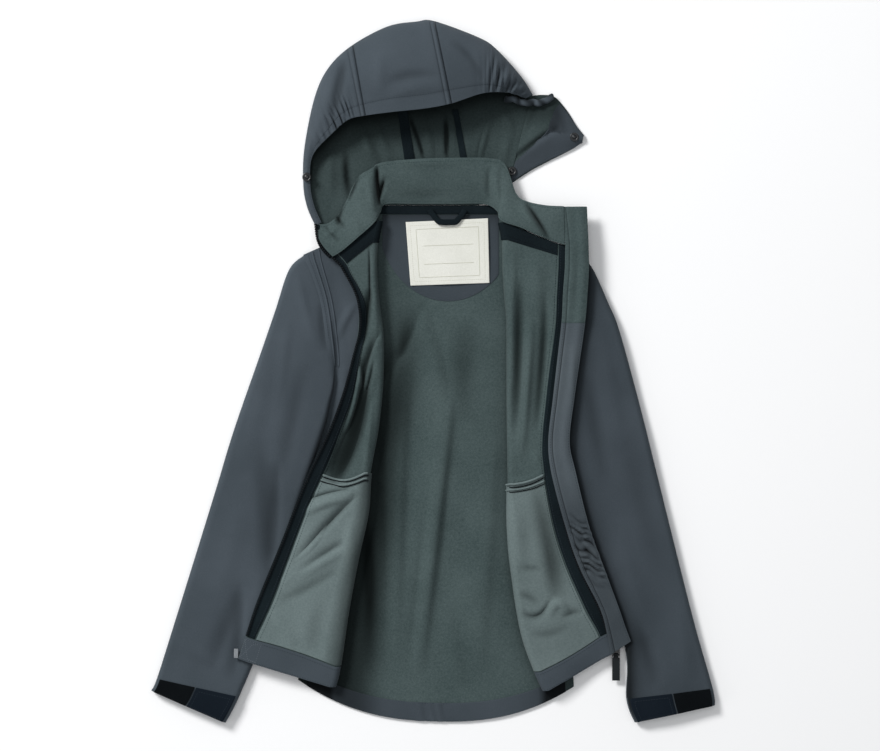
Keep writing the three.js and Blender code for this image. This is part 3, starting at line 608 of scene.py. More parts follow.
RIGHT_CREASES = [
    (95.4, 104, 94, 20, 93, -74, -5.4, 5, 7, 0.5),
    (123, 88, 123, 20, 113, -66, -4.8, 3.4, 5, 0.5),
    (107, 62, 103, -20, 95, -96, 4.6, 5, 6, 0.5),
    (134, 70, 130, 0, 119, -80, 2.4, 3, 4, 0.5),
    (88, 140, 86, 60, 87, -20, 2.4, 4, 5, 0.5),
    (112, 130, 116, 100, 112, 60, 2.2, 8, 8, 0.5),
    (75.6, -121, 96, -122, 122, -112, 3.2, 3, 4, 0.5),
    (113, -124, 127, -190, 137, -256, -4.4, 13, 8, 0.6),
    (97, -262, 115, -278, 130, -248, -4.2, 3, 4, 0.5),
    (126, -268, 136, -240, 148, -266, 3.8, 4, 4, 0.5),
    (94, -243, 106, -246, 118, -256, -2.4, 4, 4, 0.5),
    (92, -216, 106, -214, 120, -218, -1.8, 4, 4, 0.5),
    (106, -286, 126, -292, 148, -280, -1.6, 5, 5, 0.5),
    (140, -270, 150, -262, 164, -264, -2.2, 4, 4, 0.5),
    (88, -140, 92, -180, 97, -220, 2.4, 8, 5, 0.5),
    (108, -88, 116, -100, 121, -112, 2.4, 4, 4, 0.5),
]
CHEST_CREASES = [
    (-84, 76, -97, 60, -104, 36, 2.6, 3, 4, 0.5),
    (-96, 6, -98, -20, -100, -46, 2.4, 4, 5, 0.5),
    (-108, 60, -104, 20, -106, -20, -2.6, 5, 4, 0.5),
    (150, 60, 140, 20, 136, -30, 1.5, 5, 5, 0.5),
]
TURN, TOP, TAPE_AT = 1, 2, 3
DEEPEST = 6.0


def ease(t):
    """Smooth step of t from 0 to 1: t^2 (3 - 2t)."""
    return t * t * (3 - 2 * t)


def front_points(rows, places, columns, folds):
    """A front at row places and column places. Columns 0 to 1 run along the back from the side seam, 1
    to 2 round the fold as a half circle, 2 to 3 back to the zip tape and 3 to 4 across it. Its folds and
    a slow ripple lift the upper layer, and the chest's few the lower one."""
    (side_x, side_y, fold_x, fold_y, tape_x, tape_y, zip_x, zip_y, sag, side_z, low, high,
     zip_z) = columns_at(rows, places)
    c = np.asarray(columns, float)[None, :] + 0 * side_x
    side = np.sign(side_x)
    radius = (high - low) / 2
    turn_x = fold_x + side * radius
    angle = np.pi * (c - TURN - 0.5)
    t, u = c - TOP, c - TAPE_AT
    parts = [c <= TURN, c <= TOP, c <= TAPE_AT, c > TAPE_AT]
    x = np.select(parts, [side_x + (turn_x - side_x) * c, turn_x - side * radius * np.cos(angle),
                          turn_x + (tape_x - turn_x) * t, tape_x + (zip_x - tape_x) * u])
    y = np.select(parts, [side_y + (fold_y - side_y) * c, fold_y + 0 * c,
                          fold_y + (tape_y - fold_y) * t + sag * np.sin(np.pi * t),
                          tape_y + (zip_y - tape_y) * u])
    z = np.select(parts, [side_z + (low - side_z) * ease(rise(c, 0, 0.4)),
                          low + radius + radius * np.sin(angle),
                          high + (zip_z - high) * ease(t), zip_z + 0 * c])
    upper = rise(c, 1.4, 2)
    lower = rise(c, 0.8, 0.5) * rise(c, 0, 0.15)
    lift = np.maximum(creases(x, y, folds) + ripple(x, y, 5, 60, 1.1), -DEEPEST)
    return np.stack([x, y, z + lift * upper + (creases(x, y, CHEST_CREASES) + 0.4) * lower], 2)


FRONT_SPREAD = np.concatenate([np.linspace(0, 1, 20, endpoint=False), np.linspace(1, 2, 16, endpoint=False),
                               np.linspace(2, 3, 56, endpoint=False), np.linspace(3, 4, 10)])
TOP_LAYER = slice(40, None)
# Painted shade in the crease valleys of each front's upper layer: the most of it, the depth that sets it and
# the power of its rise.
CREASE_SHADE_MOST, CREASE_SHADE_DEPTH, CREASE_SHADE_POWER = 0.97, 4.4, 1.3
FRONTS = {"left": (FRONT_LEFT, LEFT_CREASES), "right": (FRONT_RIGHT, RIGHT_CREASES)}
for side_name, (rows, folds) in FRONTS.items():
    points = front_points(rows, np.linspace(0, 13, 230), FRONT_SPREAD, folds)
    # Painted shade, deeper where the creases of the upper layer are deeper.
    depth = np.clip(-creases(points[..., 0], points[..., 1], folds), 0, None)
    painted_shade = CREASE_SHADE_MOST * (1 - np.exp(-(depth / CREASE_SHADE_DEPTH) ** CREASE_SHADE_POWER)) * (FRONT_SPREAD > 1.8)
    wear(cloth_wall(f"{side_name}_front", points, CLOTH, FLEECE, SHELL, show=TOP_LAYER, painted_shade=painted_shade),
         "fleece", f"front_{side_name}")

# Back panel, its hem facing and its neck facing
# The back is laid out above and made here, because the folded fronts' shadow is painted on it. The drop
# hem is faced inside with a band of shell cloth, a little gathered, and a half-moon of the same cloth lines
# the neck.
NECK_FACING = 0.5
MOON_X, MOON_TOP, MOON_DEPTH, MOON_HALF = 16, 172.6, 95, 78
MOON_LEFT, MOON_RIGHT, MOON_SHADE_TOP = -56, 72, 173
SHADE_ROWS, SHADE_WIDTHS = [-306, -200, -86, 24], [44, 38, 32, 40]


def beside_folds(points):
    """How shaded the back is where the folded fronts stand over it: 0.85 exp(-(d/w)^4) of the distance d
    from the left fold, in a band that is w wide there, less beside the right one, and its own folds."""
    x, y = points[..., 0], points[..., 1]
    left = np.array([row[2:4] for row in FRONT_LEFT], float)
    right = np.array([row[2:4] for row in FRONT_RIGHT], float)
    from_left = np.clip(x - np.interp(y, left[:, 1], left[:, 0]), 0, None)
    from_right = np.clip(np.interp(y, right[:, 1], right[:, 0]) - x, 0, None)
    low = np.clip((120 - y) / 160, 0.25, 1)
    band = 0.85 * bell(from_left, 0, np.interp(y, SHADE_ROWS, SHADE_WIDTHS), 4)
    return low * (band + 0.4 * np.exp(-from_right / 12)) + dents(points, BACK_CREASES, 6, 0.5)


# Painted shadow of the folded fronts beside their folds, and painted shade in the back's own creases.
back = back_points(0, 11, 0, 1, 200, 110)
wear(cloth_wall("back", back, CLOTH, FLEECE, SHELL, painted_shade=beside_folds(back)), "fleece", "back_panel")
back_hem = back_points(0, 0.98, 0.03, 0.97, 26, 190)
x, y = back_hem[..., 0], back_hem[..., 1]
gathers = np.sin(x / 2.6 + 2.2 * np.sin(x / 8.3) + y / 7) + 0.7 * np.sin(x / 5.1 + 1.5 * np.sin(x / 13))
back_hem[..., 2] += 0.5 * np.clip(gathers, -0.4, 2) * bell(x, -4, 34) + 0.2
# Painted shade on the hem facing: a little all over, more beside the fronts' folds and most where it runs
# under the fronts.
under_fronts = rise(np.abs(x - 3), 112, 124)
hem_shade = 0.12 + 0.7 * beside_folds(back_hem) + 0.8 * under_fronts
wear(cloth_wall("back_hem", back_hem, FACING, SHELL, lift=over(FACING), painted_shade=hem_shade),
     "shell", "back_hem_facing", on=["back"])
down = np.sin(np.linspace(0, np.pi / 2 * 0.985, 36))
moon_half = MOON_HALF * np.sqrt(1 - down ** 2)
moon = flat_rows(MOON_TOP - MOON_DEPTH * down, np.maximum(MOON_X - moon_half, MOON_LEFT),
                 np.minimum(MOON_X + moon_half, MOON_RIGHT), 40)
# Painted shade on the neck facing, darkest just below the neck tape.
moon_shade = 0.2 + 0.5 * np.exp(-np.clip(MOON_SHADE_TOP - moon[..., 1], 0, None) / 9)
wear(cloth_wall("neck_facing", moon, NECK_FACING, SHELL, lift=CLOTH / 2 + NECK_FACING / 2, painted_shade=moon_shade),
     "shell", "back_neck_facing", on=["back"])

# Hem facings, pocket bags and neck tapes of the fronts
# A band of shell cloth faces each front's hem, a bag of light brushed tricot is sewn to the fleece behind
# each hand pocket, and a dark ribbed tape covers the neck seam.
POCKET_CLOTH = fabric("brushed_tricot", NAP, (88, 101, 101), (116, 129, 129), 0.95, 0.05, 0.3,
                      {"Pile": 1700.0})
SEAM = 0.03
POCKET_TOP = 5
POCKET_SHADE = {"left": 0.0, "right": 0.13}


def wrapped(last, columns):
    """Column places from under the fold, round it and on to the last one."""
    return np.concatenate([np.linspace(1.45, 2, 14, endpoint=False), np.linspace(2, last, columns)])


for side_name, (rows, folds) in FRONTS.items():
    hem = front_points(rows, np.linspace(0, 1, 22), wrapped(3.98, 72), folds)
    wear(cloth_wall(f"{side_name}_hem", hem, FACING, SHELL, lift=over(FACING), show=slice(14, None)),
         "shell", f"hem_facing_{side_name}")
    bag = front_points(rows, np.linspace(1 + SEAM, POCKET_TOP, 110), wrapped(2.98, 56), folds)
    # Painted shade in each bag's creases, a little over all of the right bag, and on the left bag where it
    # turns round the fold away from the light.
    bag_shade = dents(bag, folds, 7, 0.6) + POCKET_SHADE[side_name]
    if side_name == "left":
        bag_shade = bag_shade + 0.6 * rise(wrapped(2.98, 56), 2.16, 2)
    wear(cloth_wall(f"{side_name}_pocket", bag, FACING, POCKET_CLOTH, lift=over(FACING), show=slice(14, None),
                    painted_shade=bag_shade),
         "pocket", f"pocket_bag_{side_name}")
    neck_rows = front_points(rows, np.linspace(12 - 0.1, 13, 10), wrapped(2.98, 40), folds)
    wear(cloth_wall(f"{side_name}_neck_tape", neck_rows, TAPE, TAPE_CLOTH, lift=over(TAPE),
                    show=slice(14, None)),
         "tape", f"neck_tape_{side_name}")

# Zip
# A moulded separating zip: a woven tape along each front's edge, with single teeth clamped over its
# corded edge, close together and alike.
TEETH_THICK = 1.6
TOOTH_PITCH = 2.6


def small_parts(name, shape, faces, places, forward, size, material):
    """One object of many copies of a unit shape: each corner (x, y, z) of a copy, times its size, goes to
    its place + x across + y forward + z up, where across is forward x +Z and up is across x forward."""
    forward = forward / np.linalg.norm(forward, axis=1, keepdims=True)
    across = np.cross(forward, np.array([0, 0, 1.0]))
    across = across / np.linalg.norm(across, axis=1, keepdims=True)
    up = np.cross(across, forward)
    shape = np.asarray(shape, float) * size
    corners = places[:, None] + sum(step[:, None] * shape[None, :, k:k + 1]
                                    for k, step in enumerate((across, forward, up)))
    faces = np.asarray(faces)
    index = (faces[None] + (np.arange(len(places)) * len(shape))[:, None, None]).reshape(-1, faces.shape[1])
    return mesh_piece(name, corners.reshape(-1, 3), index, [material])


def pillow(rings=2, sides=6):
    """A closed unit capsule along y: rings of corners, half the sine of their latitude along it and half
    the cosine round it, with a small flat cap of two quads at both ends."""
    corners = []
    for k in range(rings + 2):
        latitude = math.pi * (k / (rings + 1) - 0.5)
        for j in range(sides):
            turn = 2 * math.pi * j / sides
            round_it = max(math.cos(latitude), 0.12) * 0.5
            corners.append((math.cos(turn) * round_it, math.sin(latitude) * 0.5, math.sin(turn) * round_it))
    faces = []
    for k in range(rings + 1):
        for j in range(sides):
            a, b = k * sides + j, k * sides + (j + 1) % sides
            faces.append((a, a + sides, b + sides, b))
    for end in (0, (rings + 1) * sides):
        ring = [end + j for j in range(sides)]
        caps = [(ring[0], ring[1], ring[2], ring[3]), (ring[0], ring[3], ring[4], ring[5])]
        faces += caps if end == 0 else [cap[::-1] for cap in caps]
    return corners, faces


def pieces_along(line, pitch):
    """Middle points and directions of even pitches along a polyline of points."""
    line = np.asarray(line, float)
    gaps = np.linalg.norm(np.diff(line, axis=0), axis=1)
    length = np.concatenate([[0], gaps.cumsum()])
    stops = np.arange(pitch / 2, length[-1], pitch)
    at = np.stack([np.interp(stops, length, line[:, k]) for k in range(3)], 1)
    ahead = np.stack([np.interp(stops + 0.2, length, line[:, k]) for k in range(3)], 1)
    behind = np.stack([np.interp(stops - 0.2, length, line[:, k]) for k in range(3)], 1)
    return at, ahead - behind


def tube(name, line, across, upright_radius, material, sides=8):
    """A closed round cord along a polyline: at each point a ring of corners, across cos a sideways and
    upright_radius sin a upwards, drawn in to a blunt end at both ends and capped."""
    line = np.asarray(line, float)
    ahead = np.gradient(line, axis=0)
    ahead = ahead / np.linalg.norm(ahead, axis=1, keepdims=True)
    sideways = np.cross(ahead, np.array([0, 0, 1.0]))
    sideways = sideways / np.linalg.norm(sideways, axis=1, keepdims=True)
    upwards = np.cross(sideways, ahead)
    ends = np.minimum(np.arange(len(line)), np.arange(len(line))[::-1])
    full = np.interp(ends, [0, 1, 2], [0.55, 0.9, 1.0])
    turn = 2 * np.pi * np.arange(sides) / sides
    ring = (sideways[:, None] * (np.cos(turn) * across)[None, :, None]
            + upwards[:, None] * (np.sin(turn) * upright_radius)[None, :, None])
    corners = line[:, None] + ring * full[:, None, None]
    index = np.arange(len(line) * sides).reshape(-1, sides)
    after = np.roll(index, -1, 1)
    faces = np.stack([index[:-1], index[1:], after[1:], after[:-1]], 2).reshape(-1, 4)
    caps = []
    for end, back_to_front in ((index[0], 1), (index[-1], -1)):
        for k in range(1, sides - 2, 2):
            caps.append([end[0], end[k], end[k + 1], end[k + 2]][::back_to_front])
    return mesh_piece(name, corners.reshape(-1, 3), np.concatenate([faces, np.array(caps)]), [material])


TOOTH = [(x, y, z) for x in (-0.5, 0.5) for y in (-0.5, 0.5) for z in (-0.5, 0.5)]
TOOTH_FACES = [(0, 1, 3, 2), (4, 6, 7, 5), (0, 4, 5, 1), (2, 3, 7, 6), (0, 2, 6, 4), (1, 5, 7, 3)]
TOOTH_PLASTIC = fabric("moulded_teeth", GRAIN, (7, 10, 13), (19, 24, 28), 0.6, 0.0, 0.03, shine=0.12)
for side_name, (rows, folds) in FRONTS.items():
    tape = front_points(rows, np.linspace(1 + SEAM, 13, 190), np.linspace(3.03, 4, 10), folds)
    wear(cloth_wall(f"{side_name}_zip_tape", tape, TAPE, TAPE_CLOTH, lift=over(TAPE)),
         "tape", f"zip_tape_{side_name}")
    edge = front_points(rows, np.linspace(1 + SEAM, 13, 190), [3.8, 3.87, 3.94], folds)
    edge = moved_out(edge, over(TEETH_THICK, TAPE + SKIN_GAP))[:, 1]
    teeth = small_parts(f"{side_name}_teeth", TOOTH, TOOTH_FACES, *pieces_along(edge, TOOTH_PITCH),
                        (3.0, 1.6, TEETH_THICK), TOOTH_PLASTIC)
    rounding = teeth.modifiers.new("rounded teeth", "BEVEL")
    rounding.width = 0.3 * MM
    rounding.segments = 1
    wear(teeth, "zip_teeth", f"zip_teeth_{side_name}")

# Wind flap and chin guard
# A strip behind the right zip, doubled shell cloth whose stitching gathers it a little over the hip, and
# brushed fleece at its top, where it is folded over the zip to guard the chin.
FLAP_EDGE = [
    # x, y, z beside each row of the right front, and the top above the neck seam
    (216.4, -295, 14.6), (209.6, -277, 17.4), (202.6, -257, 19.4), (186.6, -214, 20.8), (170.8, -170, 21.2),
    (155.6, -110, 21.2), (148.8, -76, 21.2), (153.7, -30, 21), (159.5, 10, 21), (165.9, 55, 21.4),
    (168.6, 87, 21.4), (170, 112, 21), (169.8, 128, 20.6), (169.4, 139.4, 20.4), (168, 180.6, 17),
]
FLAP_LIFT = 3.8
FLAP_OVERLAP = [1.5, 1.5, 1.8, 1.6, 2.4, 4.6, 5.4, 5.4, 5.4, 5.4, 5.4, 5.4, 5.4, 5.4]
FLAP_TOP = (139.4, 180.6, 17)
FLAP_FLEECE_ROW = 9
FLAP_CREASES = [
    (152, 40, 154, -20, 148, -90, 1.0, 3, 3, 0.5),
    (160, 150, 158, 100, 156, 60, -1.0, 4, 4, 0.5),
    (160, -182, 168, -190, 174, -206, -2.2, 1.6, 2.4, 0.5),
    (156, -168, 166, -176, 170, -186, 1.8, 1.8, 2.0, 0.5),
    (164, -204, 174, -208, 184, -220, 2.0, 1.8, 2.2, 0.5),
]


def flap_gathers(x, y, share):
    """Crinkles over the hip, -1 to 1: uneven sine waves aslant across the flap, times exp(-(d/34)^4) of
    the distance d along it from the hip, and faded in from its stitching and out at its edge."""
    gathered = bell(y, -196, 34, 4) * rise(share, 0.1, 0.25) * rise(share, 1, 0.88)
    slant = y + 0.45 * x
    return gathered * (0.62 * np.sin(slant / 1.25 + 1.7 * np.sin(slant / 5.3) + 1.2 * np.sin(x / 3.1))
                       + 0.38 * np.sin(slant / 2.7 + 2 * np.sin(x / 4.2 + y / 9)))


def flap_points(places, shares):
    """The flap at row places and shares across it: from its stitching beside the zip to its free edge,
    with its crinkles added; above the neck seam its stitched side leads up to its top corner."""
    places = np.asarray(places, float)
    edge = along(FLAP_EDGE, places)
    above = np.clip(places - 13, 0, None)
    row = along(FRONT_RIGHT, np.minimum(places, 13))
    overlap = np.interp(places, np.arange(14), FLAP_OVERLAP)
    stitch = np.stack([row[:, 6] - overlap, row[:, 7], row[:, 12] + FLAP_LIFT + TEETH_THICK], 1)
    stitch = stitch + (np.array(FLAP_TOP, float) - stitch) * above[:, None]
    edge = edge + np.array([0, 0, 0.4])
    share = np.asarray(shares, float)[None, :]
    x, y = (stitch[:, k:k + 1] + (edge[:, k:k + 1] - stitch[:, k:k + 1]) * share for k in (0, 1))
    z = stitch[:, 2:3] + (edge[:, 2:3] - stitch[:, 2:3]) * ease(share)
    z = z + creases(x, y, FLAP_CREASES) + ripple(x, y, 8, 40, 0.7)
    z = z + 2.3 * flap_gathers(x, y, share) - bell(share, 0.2, 0.03)
    z = z + 2.2 * bell(share, 0.78, 0.2) * rise(places[:, None], 4.2, 5.4)
    return np.stack([x, y, z], 2)


flap_share = np.linspace(0, 1, 26)
# A lighter copy of the shell cloth for the wind flap: painted light, since the flap is angled towards the
# light.
PAINTED_LIGHT_FLAP_SHELL = fabric("flap_shell_painted_light", WEAVE, (66, 74, 80), (84, 92, 97), 0.8, 0.03, 0.1)
flap = flap_points(np.linspace(0, FLAP_FLEECE_ROW, 230), flap_share)
flap_x, flap_y = flap[..., 0], flap[..., 1]
# Painted shade in the valleys of the crinkles, over the flap's lower part and in the groove beside its
# stitching.
crinkled = np.clip(-flap_gathers(flap_x, flap_y, flap_share[None, :]), 0, 1)
flap_painted_shade = 0.9 * crinkled + 0.28 * rise(flap_y, -110, -160) + 0.5 * bell(flap_share, 0.2, 0.025)
wear(cloth_wall("wind_flap_cloth", flap, CLOTH, PAINTED_LIGHT_FLAP_SHELL, painted_shade=flap_painted_shade), "shell", "wind_flap")
chin = flap_points(np.linspace(FLAP_FLEECE_ROW - 0.05, 14, 90), flap_share)
wear(cloth_wall("chin_fleece", chin, CLOTH, FLEECE, lift=0.3), "fleece", "chin_guard")

# Collar
# A stand-up collar laid open, fleece side up. It is one band sewn to the neck, with a deep crease where
# it bends at the left of the back and a softer roll at the right.
COLLAR = [
    # seam x, y, z, top x, y, z, from the left zip round to the right one
    (-110, 125.8, 20.8, -127.6, 161.2, 15),
    (-98.8, 132.8, 21.2, -113, 163.4, 13),
    (-81, 148, 21, -98, 181.4, 11),
    (-65, 162.6, 19.8, -84, 211, 10),
    (-58.8, 174, 12, -68, 222.6, 13),
    (-52, 184.2, 5.4, -55, 229.4, 15),
    (-20, 184.4, 5.2, -20, 232.6, 15.6),
    (20, 184.4, 5.2, 17, 234, 15.6),
    (56, 184.2, 5.4, 62, 233.8, 15),
    (70.2, 176, 12, 79, 226.4, 14),
    (74.4, 165.4, 19.8, 91, 194.4, 15),
    (97, 157, 21.2, 104.6, 185.8, 16),
    (122, 146, 21.8, 124, 181.8, 18),
    (143.6, 138.6, 22.6, 142.6, 181, 18.6),
]
COLLAR_CREASES = [
    (-61, 226, -60.5, 206, -59, 180, -9.5, 1.8, 3.4, 0.45),
    (-54, 210, -56, 200, -59, 190, -4.5, 1.6, 2.4, 0.5),
    (-52, 214, -56, 204, -58, 190, -2.5, 2, 3, 0.5),
    (-72, 218, -70, 200, -64, 176, 3.0, 5, 4, 0.5),
    (-97, 189, -102, 172, -105, 158, -3.2, 2.6, 3, 0.5),
    (-119, 150, -110, 152, -104, 160, 1.8, 3, 3, 0.5),
    (-90, 168, -84, 160, -76, 152, 1.5, 4, 4, 0.5),
    (-44, 228, -10, 230, 40, 229, 1.6, 4, 5, 0.5),
    (70, 228, 66, 205, 74, 162, 2.6, 4, 5, 0.5),
    (62, 226, 58, 205, 63, 184, -1.6, 3, 3, 0.5),
    (101, 186, 114, 168, 130, 140, -4.6, 2.2, 4.5, 0.5),
    (96, 182, 106, 165, 120, 148, 3.4, 4, 4, 0.5),
    (-113, 178, -104, 168, -95, 156, -3.0, 1.8, 3, 0.5),
    (-90, 206, -96, 192, -110, 176, 3.0, 3, 3, 0.5),
    (-80, 216, -87, 200, -92, 186, -3.0, 1.8, 3, 0.5),
    (-118, 160, -112, 150, -100, 142, -2.2, 1.8, 2.4, 0.5),
    (-40, 196, -10, 192, 20, 196, -0.8, 6, 6, 0.5),
]


def collar_points(places, shares):
    """The collar between its seam and its top edge, creased, and bellied by 2 sin(pi s) except at its
    right end, which is sewn flat to the chin guard."""
    row = columns_at(COLLAR, places)
    places, share = np.asarray(places, float)[:, None], np.asarray(shares, float)[None, :]
    x, y = row[0] + (row[3] - row[0]) * share, row[1] + (row[4] - row[1]) * share
    x = x - 5.5 * np.sin(np.pi * share) * rise(places, 0.9, 0)
    belly = 2 * rise(places, 13, 12.3)
    z = row[2] + (row[5] - row[2]) * share + belly * np.sin(np.pi * share)
    fold = creases(x, y, COLLAR_CREASES) + ripple(x, y, 11, 50, 0.9)
    return np.stack([x, y, np.maximum(z + fold, 3.6 + 0 * z)], 2)


collar = collar_points(np.linspace(0, 13, 230), np.linspace(0, 1, 34))
# Painted shade in the collar's creases.
collar_shade = dents(collar, COLLAR_CREASES, 4.5, 0.95)
wear(cloth_wall("collar_fleece", collar, CLOTH, FLEECE, SHELL, painted_shade=collar_shade),
     "fleece", "collar", held="folded")

# Hood
# Three panels of shell cloth, fleece inside, joined by two lapped and topstitched seams from the brim to
# the neck. The hood lies on its back with its face opening up, and elastic gathers the brim's ends.
HOOD = [
    # neck x, y, outline x, y, brim x, y, crown height, from the left end of the brim round to the right
    (-110, 152, -128.6, 160.5, -123, 164, 6),
    (-107, 161, -137.6, 181, -131.6, 184.4, 8),
    (-101, 165.6, -141.8, 206, -135.2, 208, 9),
    (-90, 172, -140.4, 246, -132, 237, 14),
    (-76, 180.5, -129, 301, -110, 260.5, 26),
    (-66, 183.3, -113.6, 333, -92.7, 274.4, 34),
    (-50, 183.3, -88.3, 356.6, -74, 278.6, 39),
    (-30, 183.3, -50, 377, -43, 282.4, 42),
    (-12, 183.3, -18.5, 382.4, -9.1, 286, 43),
    (8, 183.3, 0.8, 382.9, 19.5, 291.4, 43),
    (30, 183.3, 49.2, 365, 49.2, 301.6, 40),
    (48, 183.3, 69, 352, 65.4, 304.6, 34),
    (66, 188, 95, 323.6, 83.6, 304.6, 24),
    (82, 204, 108.4, 303.6, 101.2, 300.2, 11),
]
HOOD_HEIGHT = [0.01, 0, 0.03, 0.3, 0.7, 1, 0.91]
HOOD_REACH = [0, 0.5, 0.94, 1, 0.1, 0.5, 1]
HOOD_SEAMS = (6, 9)
BRIM_STITCH = 5.62
HOOD_CREASES = [
    (-96, 341, -102, 310, -110, 276, -4.0, 5, 6, 0.5),
    (-53, 312, -28, 326, 8, 322, -1.8, 5, 5, 0.5),
    (-46, 300, -20, 312, 14, 310, 1.6, 6, 6, 0.5),
    (19, 359, 40, 350, 54, 318, -1.6, 4, 5, 0.5),
    (-128, 290, -122, 276, -112, 268, 1.6, 3, 3, 0.5),
    (-136, 262, -128, 252, -118, 252, 1.6, 3, 3, 0.5),
    (-60, 350, -56, 325, -60, 300, 1.6, 7, 7, 0.5),
]
LINING_CREASES = [
    (-78, 272, -74, 240, -58, 228, 4.0, 5, 6, 0.5),
    (-62, 276, -58, 250, -42, 230, 3.4, 4, 5, 0.5),
    (-110, 250, -118, 220, -110, 190, 3.6, 6, 6, 0.5),
    (-96, 244, -98, 215, -92, 190, -3.0, 4, 4, 0.5),
    (-26, 280, -16, 256, -10, 232, -4.5, 1.8, 2.2, 0.5),
    (-12, 280, -6, 256, 2, 234, 2.6, 3, 4, 0.5),
    (14, 280, 15, 255, 14, 232, -4.5, 2.2, 2.6, 0.5),
    (20, 282, 22, 258, 24, 236, 2.4, 2.4, 2.4, 0.5),
    (62, 290, 56, 262, 50, 232, 3.4, 4, 5, 0.5),
    (62, 282, 52, 258, 48, 234, -3.0, 2.0, 2.4, 0.5),
    (70, 292, 80, 276, 92, 258, 3.0, 4, 4, 0.5),
    (84, 262, 78, 240, 76, 222, 2.6, 5, 5, 0.5),
]


def brim_gathers(rib, place):
    """Gathers at the brim's two ends, about -1 to 1: waves along the ribs, aslant, that die away from the
    brim's stitching, further from it at the right end."""
    left = bell(rib, 4.4, 0.9) * bell(place, BRIM_STITCH, 0.42)
    right = bell(rib, 11.5, 0.95) * bell(place, BRIM_STITCH - 0.3, 0.95)
    fine = np.sin(rib * 21 + 1.3 * np.sin(rib * 5) + 1.4 * place) + 0.7 * np.sin(rib * 33 + 2 - 2.2 * place)
    broad = np.sin(rib * 11 + 1.2 * np.sin(rib * 4) + 2.4 * place) + 0.6 * np.sin(rib * 24 + 2 - 1.6 * place)
    return left * fine + right * broad


def lining_folds(x, y):
    """Height of the folds that the hood's lining lies in: its creases and a slow ripple, where above 0."""
    return np.maximum(creases(x, y, LINING_CREASES) + ripple(x, y, 22, 50, 1.6), 0)


def hood_points(ribs, places):
    """The hood at ribs and places along each: 0 to 3 on the floor from the neck to the outline, 3 to 6
    back over the crown to the brim, on a curve through seven stops. Seams are a groove beside a ridge,
    the brim's stitching a groove, and its gathers waves along the ribs that die away from it."""
    row = along(HOOD, np.asarray(ribs, float))
    stops = []
    for k, (reach, height) in enumerate(zip(HOOD_REACH, HOOD_HEIGHT)):
        near, far = (row[:, 2:4], row[:, 4:6]) if k > 3 else (row[:, 0:2], row[:, 2:4])
        flat = near + (far - near) * reach
        stops.append(np.concatenate([flat, FLOOR_MID + row[:, 6:7] * height], 1))
    points = np.swapaxes(along(np.stack(stops), np.asarray(places, float)), 0, 1)
    points[..., 2] = np.maximum(points[..., 2], FLOOR_MID)
    x, y = points[..., 0], points[..., 1]
    rib = np.asarray(ribs, float)[:, None]
    place = np.asarray(places, float)[None, :]
    crown = creases(x, y, HOOD_CREASES) + ripple(x, y, 21, 45, 1.0) + 2.2 * brim_gathers(rib, place)
    crown = crown - 0.15 * bell(place, BRIM_STITCH, 0.04)
    for seam_rib in HOOD_SEAMS:
        crown = crown + 1.7 * bell(rib, seam_rib - 0.075, 0.06)
        crown = crown - 2.4 * bell(rib, seam_rib + 0.02, 0.026) - 0.9 * bell(rib, seam_rib - 0.17, 0.024)
    lining = rise(place, 2.6, 2.2) * rise(place, 0, 0.2) * lining_folds(x, y)
    lift = rise(place, 3.2, 3.8) * crown + lining
    points[..., 2] = np.maximum(points[..., 2] + lift, FLOOR_MID + 0 * lift)
    return points


beside_seams = [seam_rib + np.linspace(-0.16, 0.1, 22) for seam_rib in HOOD_SEAMS]
hood_ribs = np.unique(np.concatenate([np.linspace(0, 13, 240)] + beside_seams))
hood_places = np.unique(np.concatenate([np.linspace(0, 3, 44), np.linspace(3, 6, 50),
                                        BRIM_STITCH + np.linspace(-0.1, 0.1, 9)]))
hood_floor = slice(2, 40)


def under_brim(points):
    """How shaded the hood's lining is: 0.3 + 0.62 exp(-d/24) of the distance d below the brim, and its
    own folds."""
    brim = np.array([row[4:6] for row in HOOD[2:]], float)
    below = np.interp(points[..., 0], brim[:, 0], brim[:, 1]) - points[..., 1]
    shade = 0.3 + 0.62 * np.exp(-np.clip(below, 0, None) / 24) + dents(points, LINING_CREASES, 4.5, 0.8)
    return np.clip(shade, 0, 0.97)


def crown_shade(points, ribs, places):
    """How shaded the crown is: in the groove of each seam and of the brim's stitching, between its
    gathers, in its own dents, and over its right panel, which turns away from the light."""
    ribs, places = np.asarray(ribs)[:, None], np.asarray(places)[None, :]
    shade = 0.14 * bell(places, BRIM_STITCH, 0.035) + 0.02 * rise(ribs, 9, 9.8)
    shade = shade + 0.3 * np.clip(-brim_gathers(ribs, places), 0, 1)
    for seam_rib in HOOD_SEAMS:
        shade = shade + 0.75 * bell(ribs, seam_rib + 0.02, 0.03) + 0.3 * bell(ribs, seam_rib - 0.17, 0.03)
    return shade + dents(points, HOOD_CREASES, 7, 0.4)


hood = hood_points(hood_ribs, hood_places)
# Painted shade: the crown's shadow on the lining, strongest below the brim, and the shade in the crown's
# seams, gathers, dents and right panel.
hood_shade = rise(hood_places, 2.4, 1.9) * under_brim(hood)
hood_shade = hood_shade + (hood_places > 3) * crown_shade(hood, hood_ribs, hood_places)
wear(cloth_wall("hood_panels", hood, CLOTH, FLEECE, SHELL, show=hood_floor, painted_shade=hood_shade),
     "shell", "hood_left", "hood_centre", "hood_right")

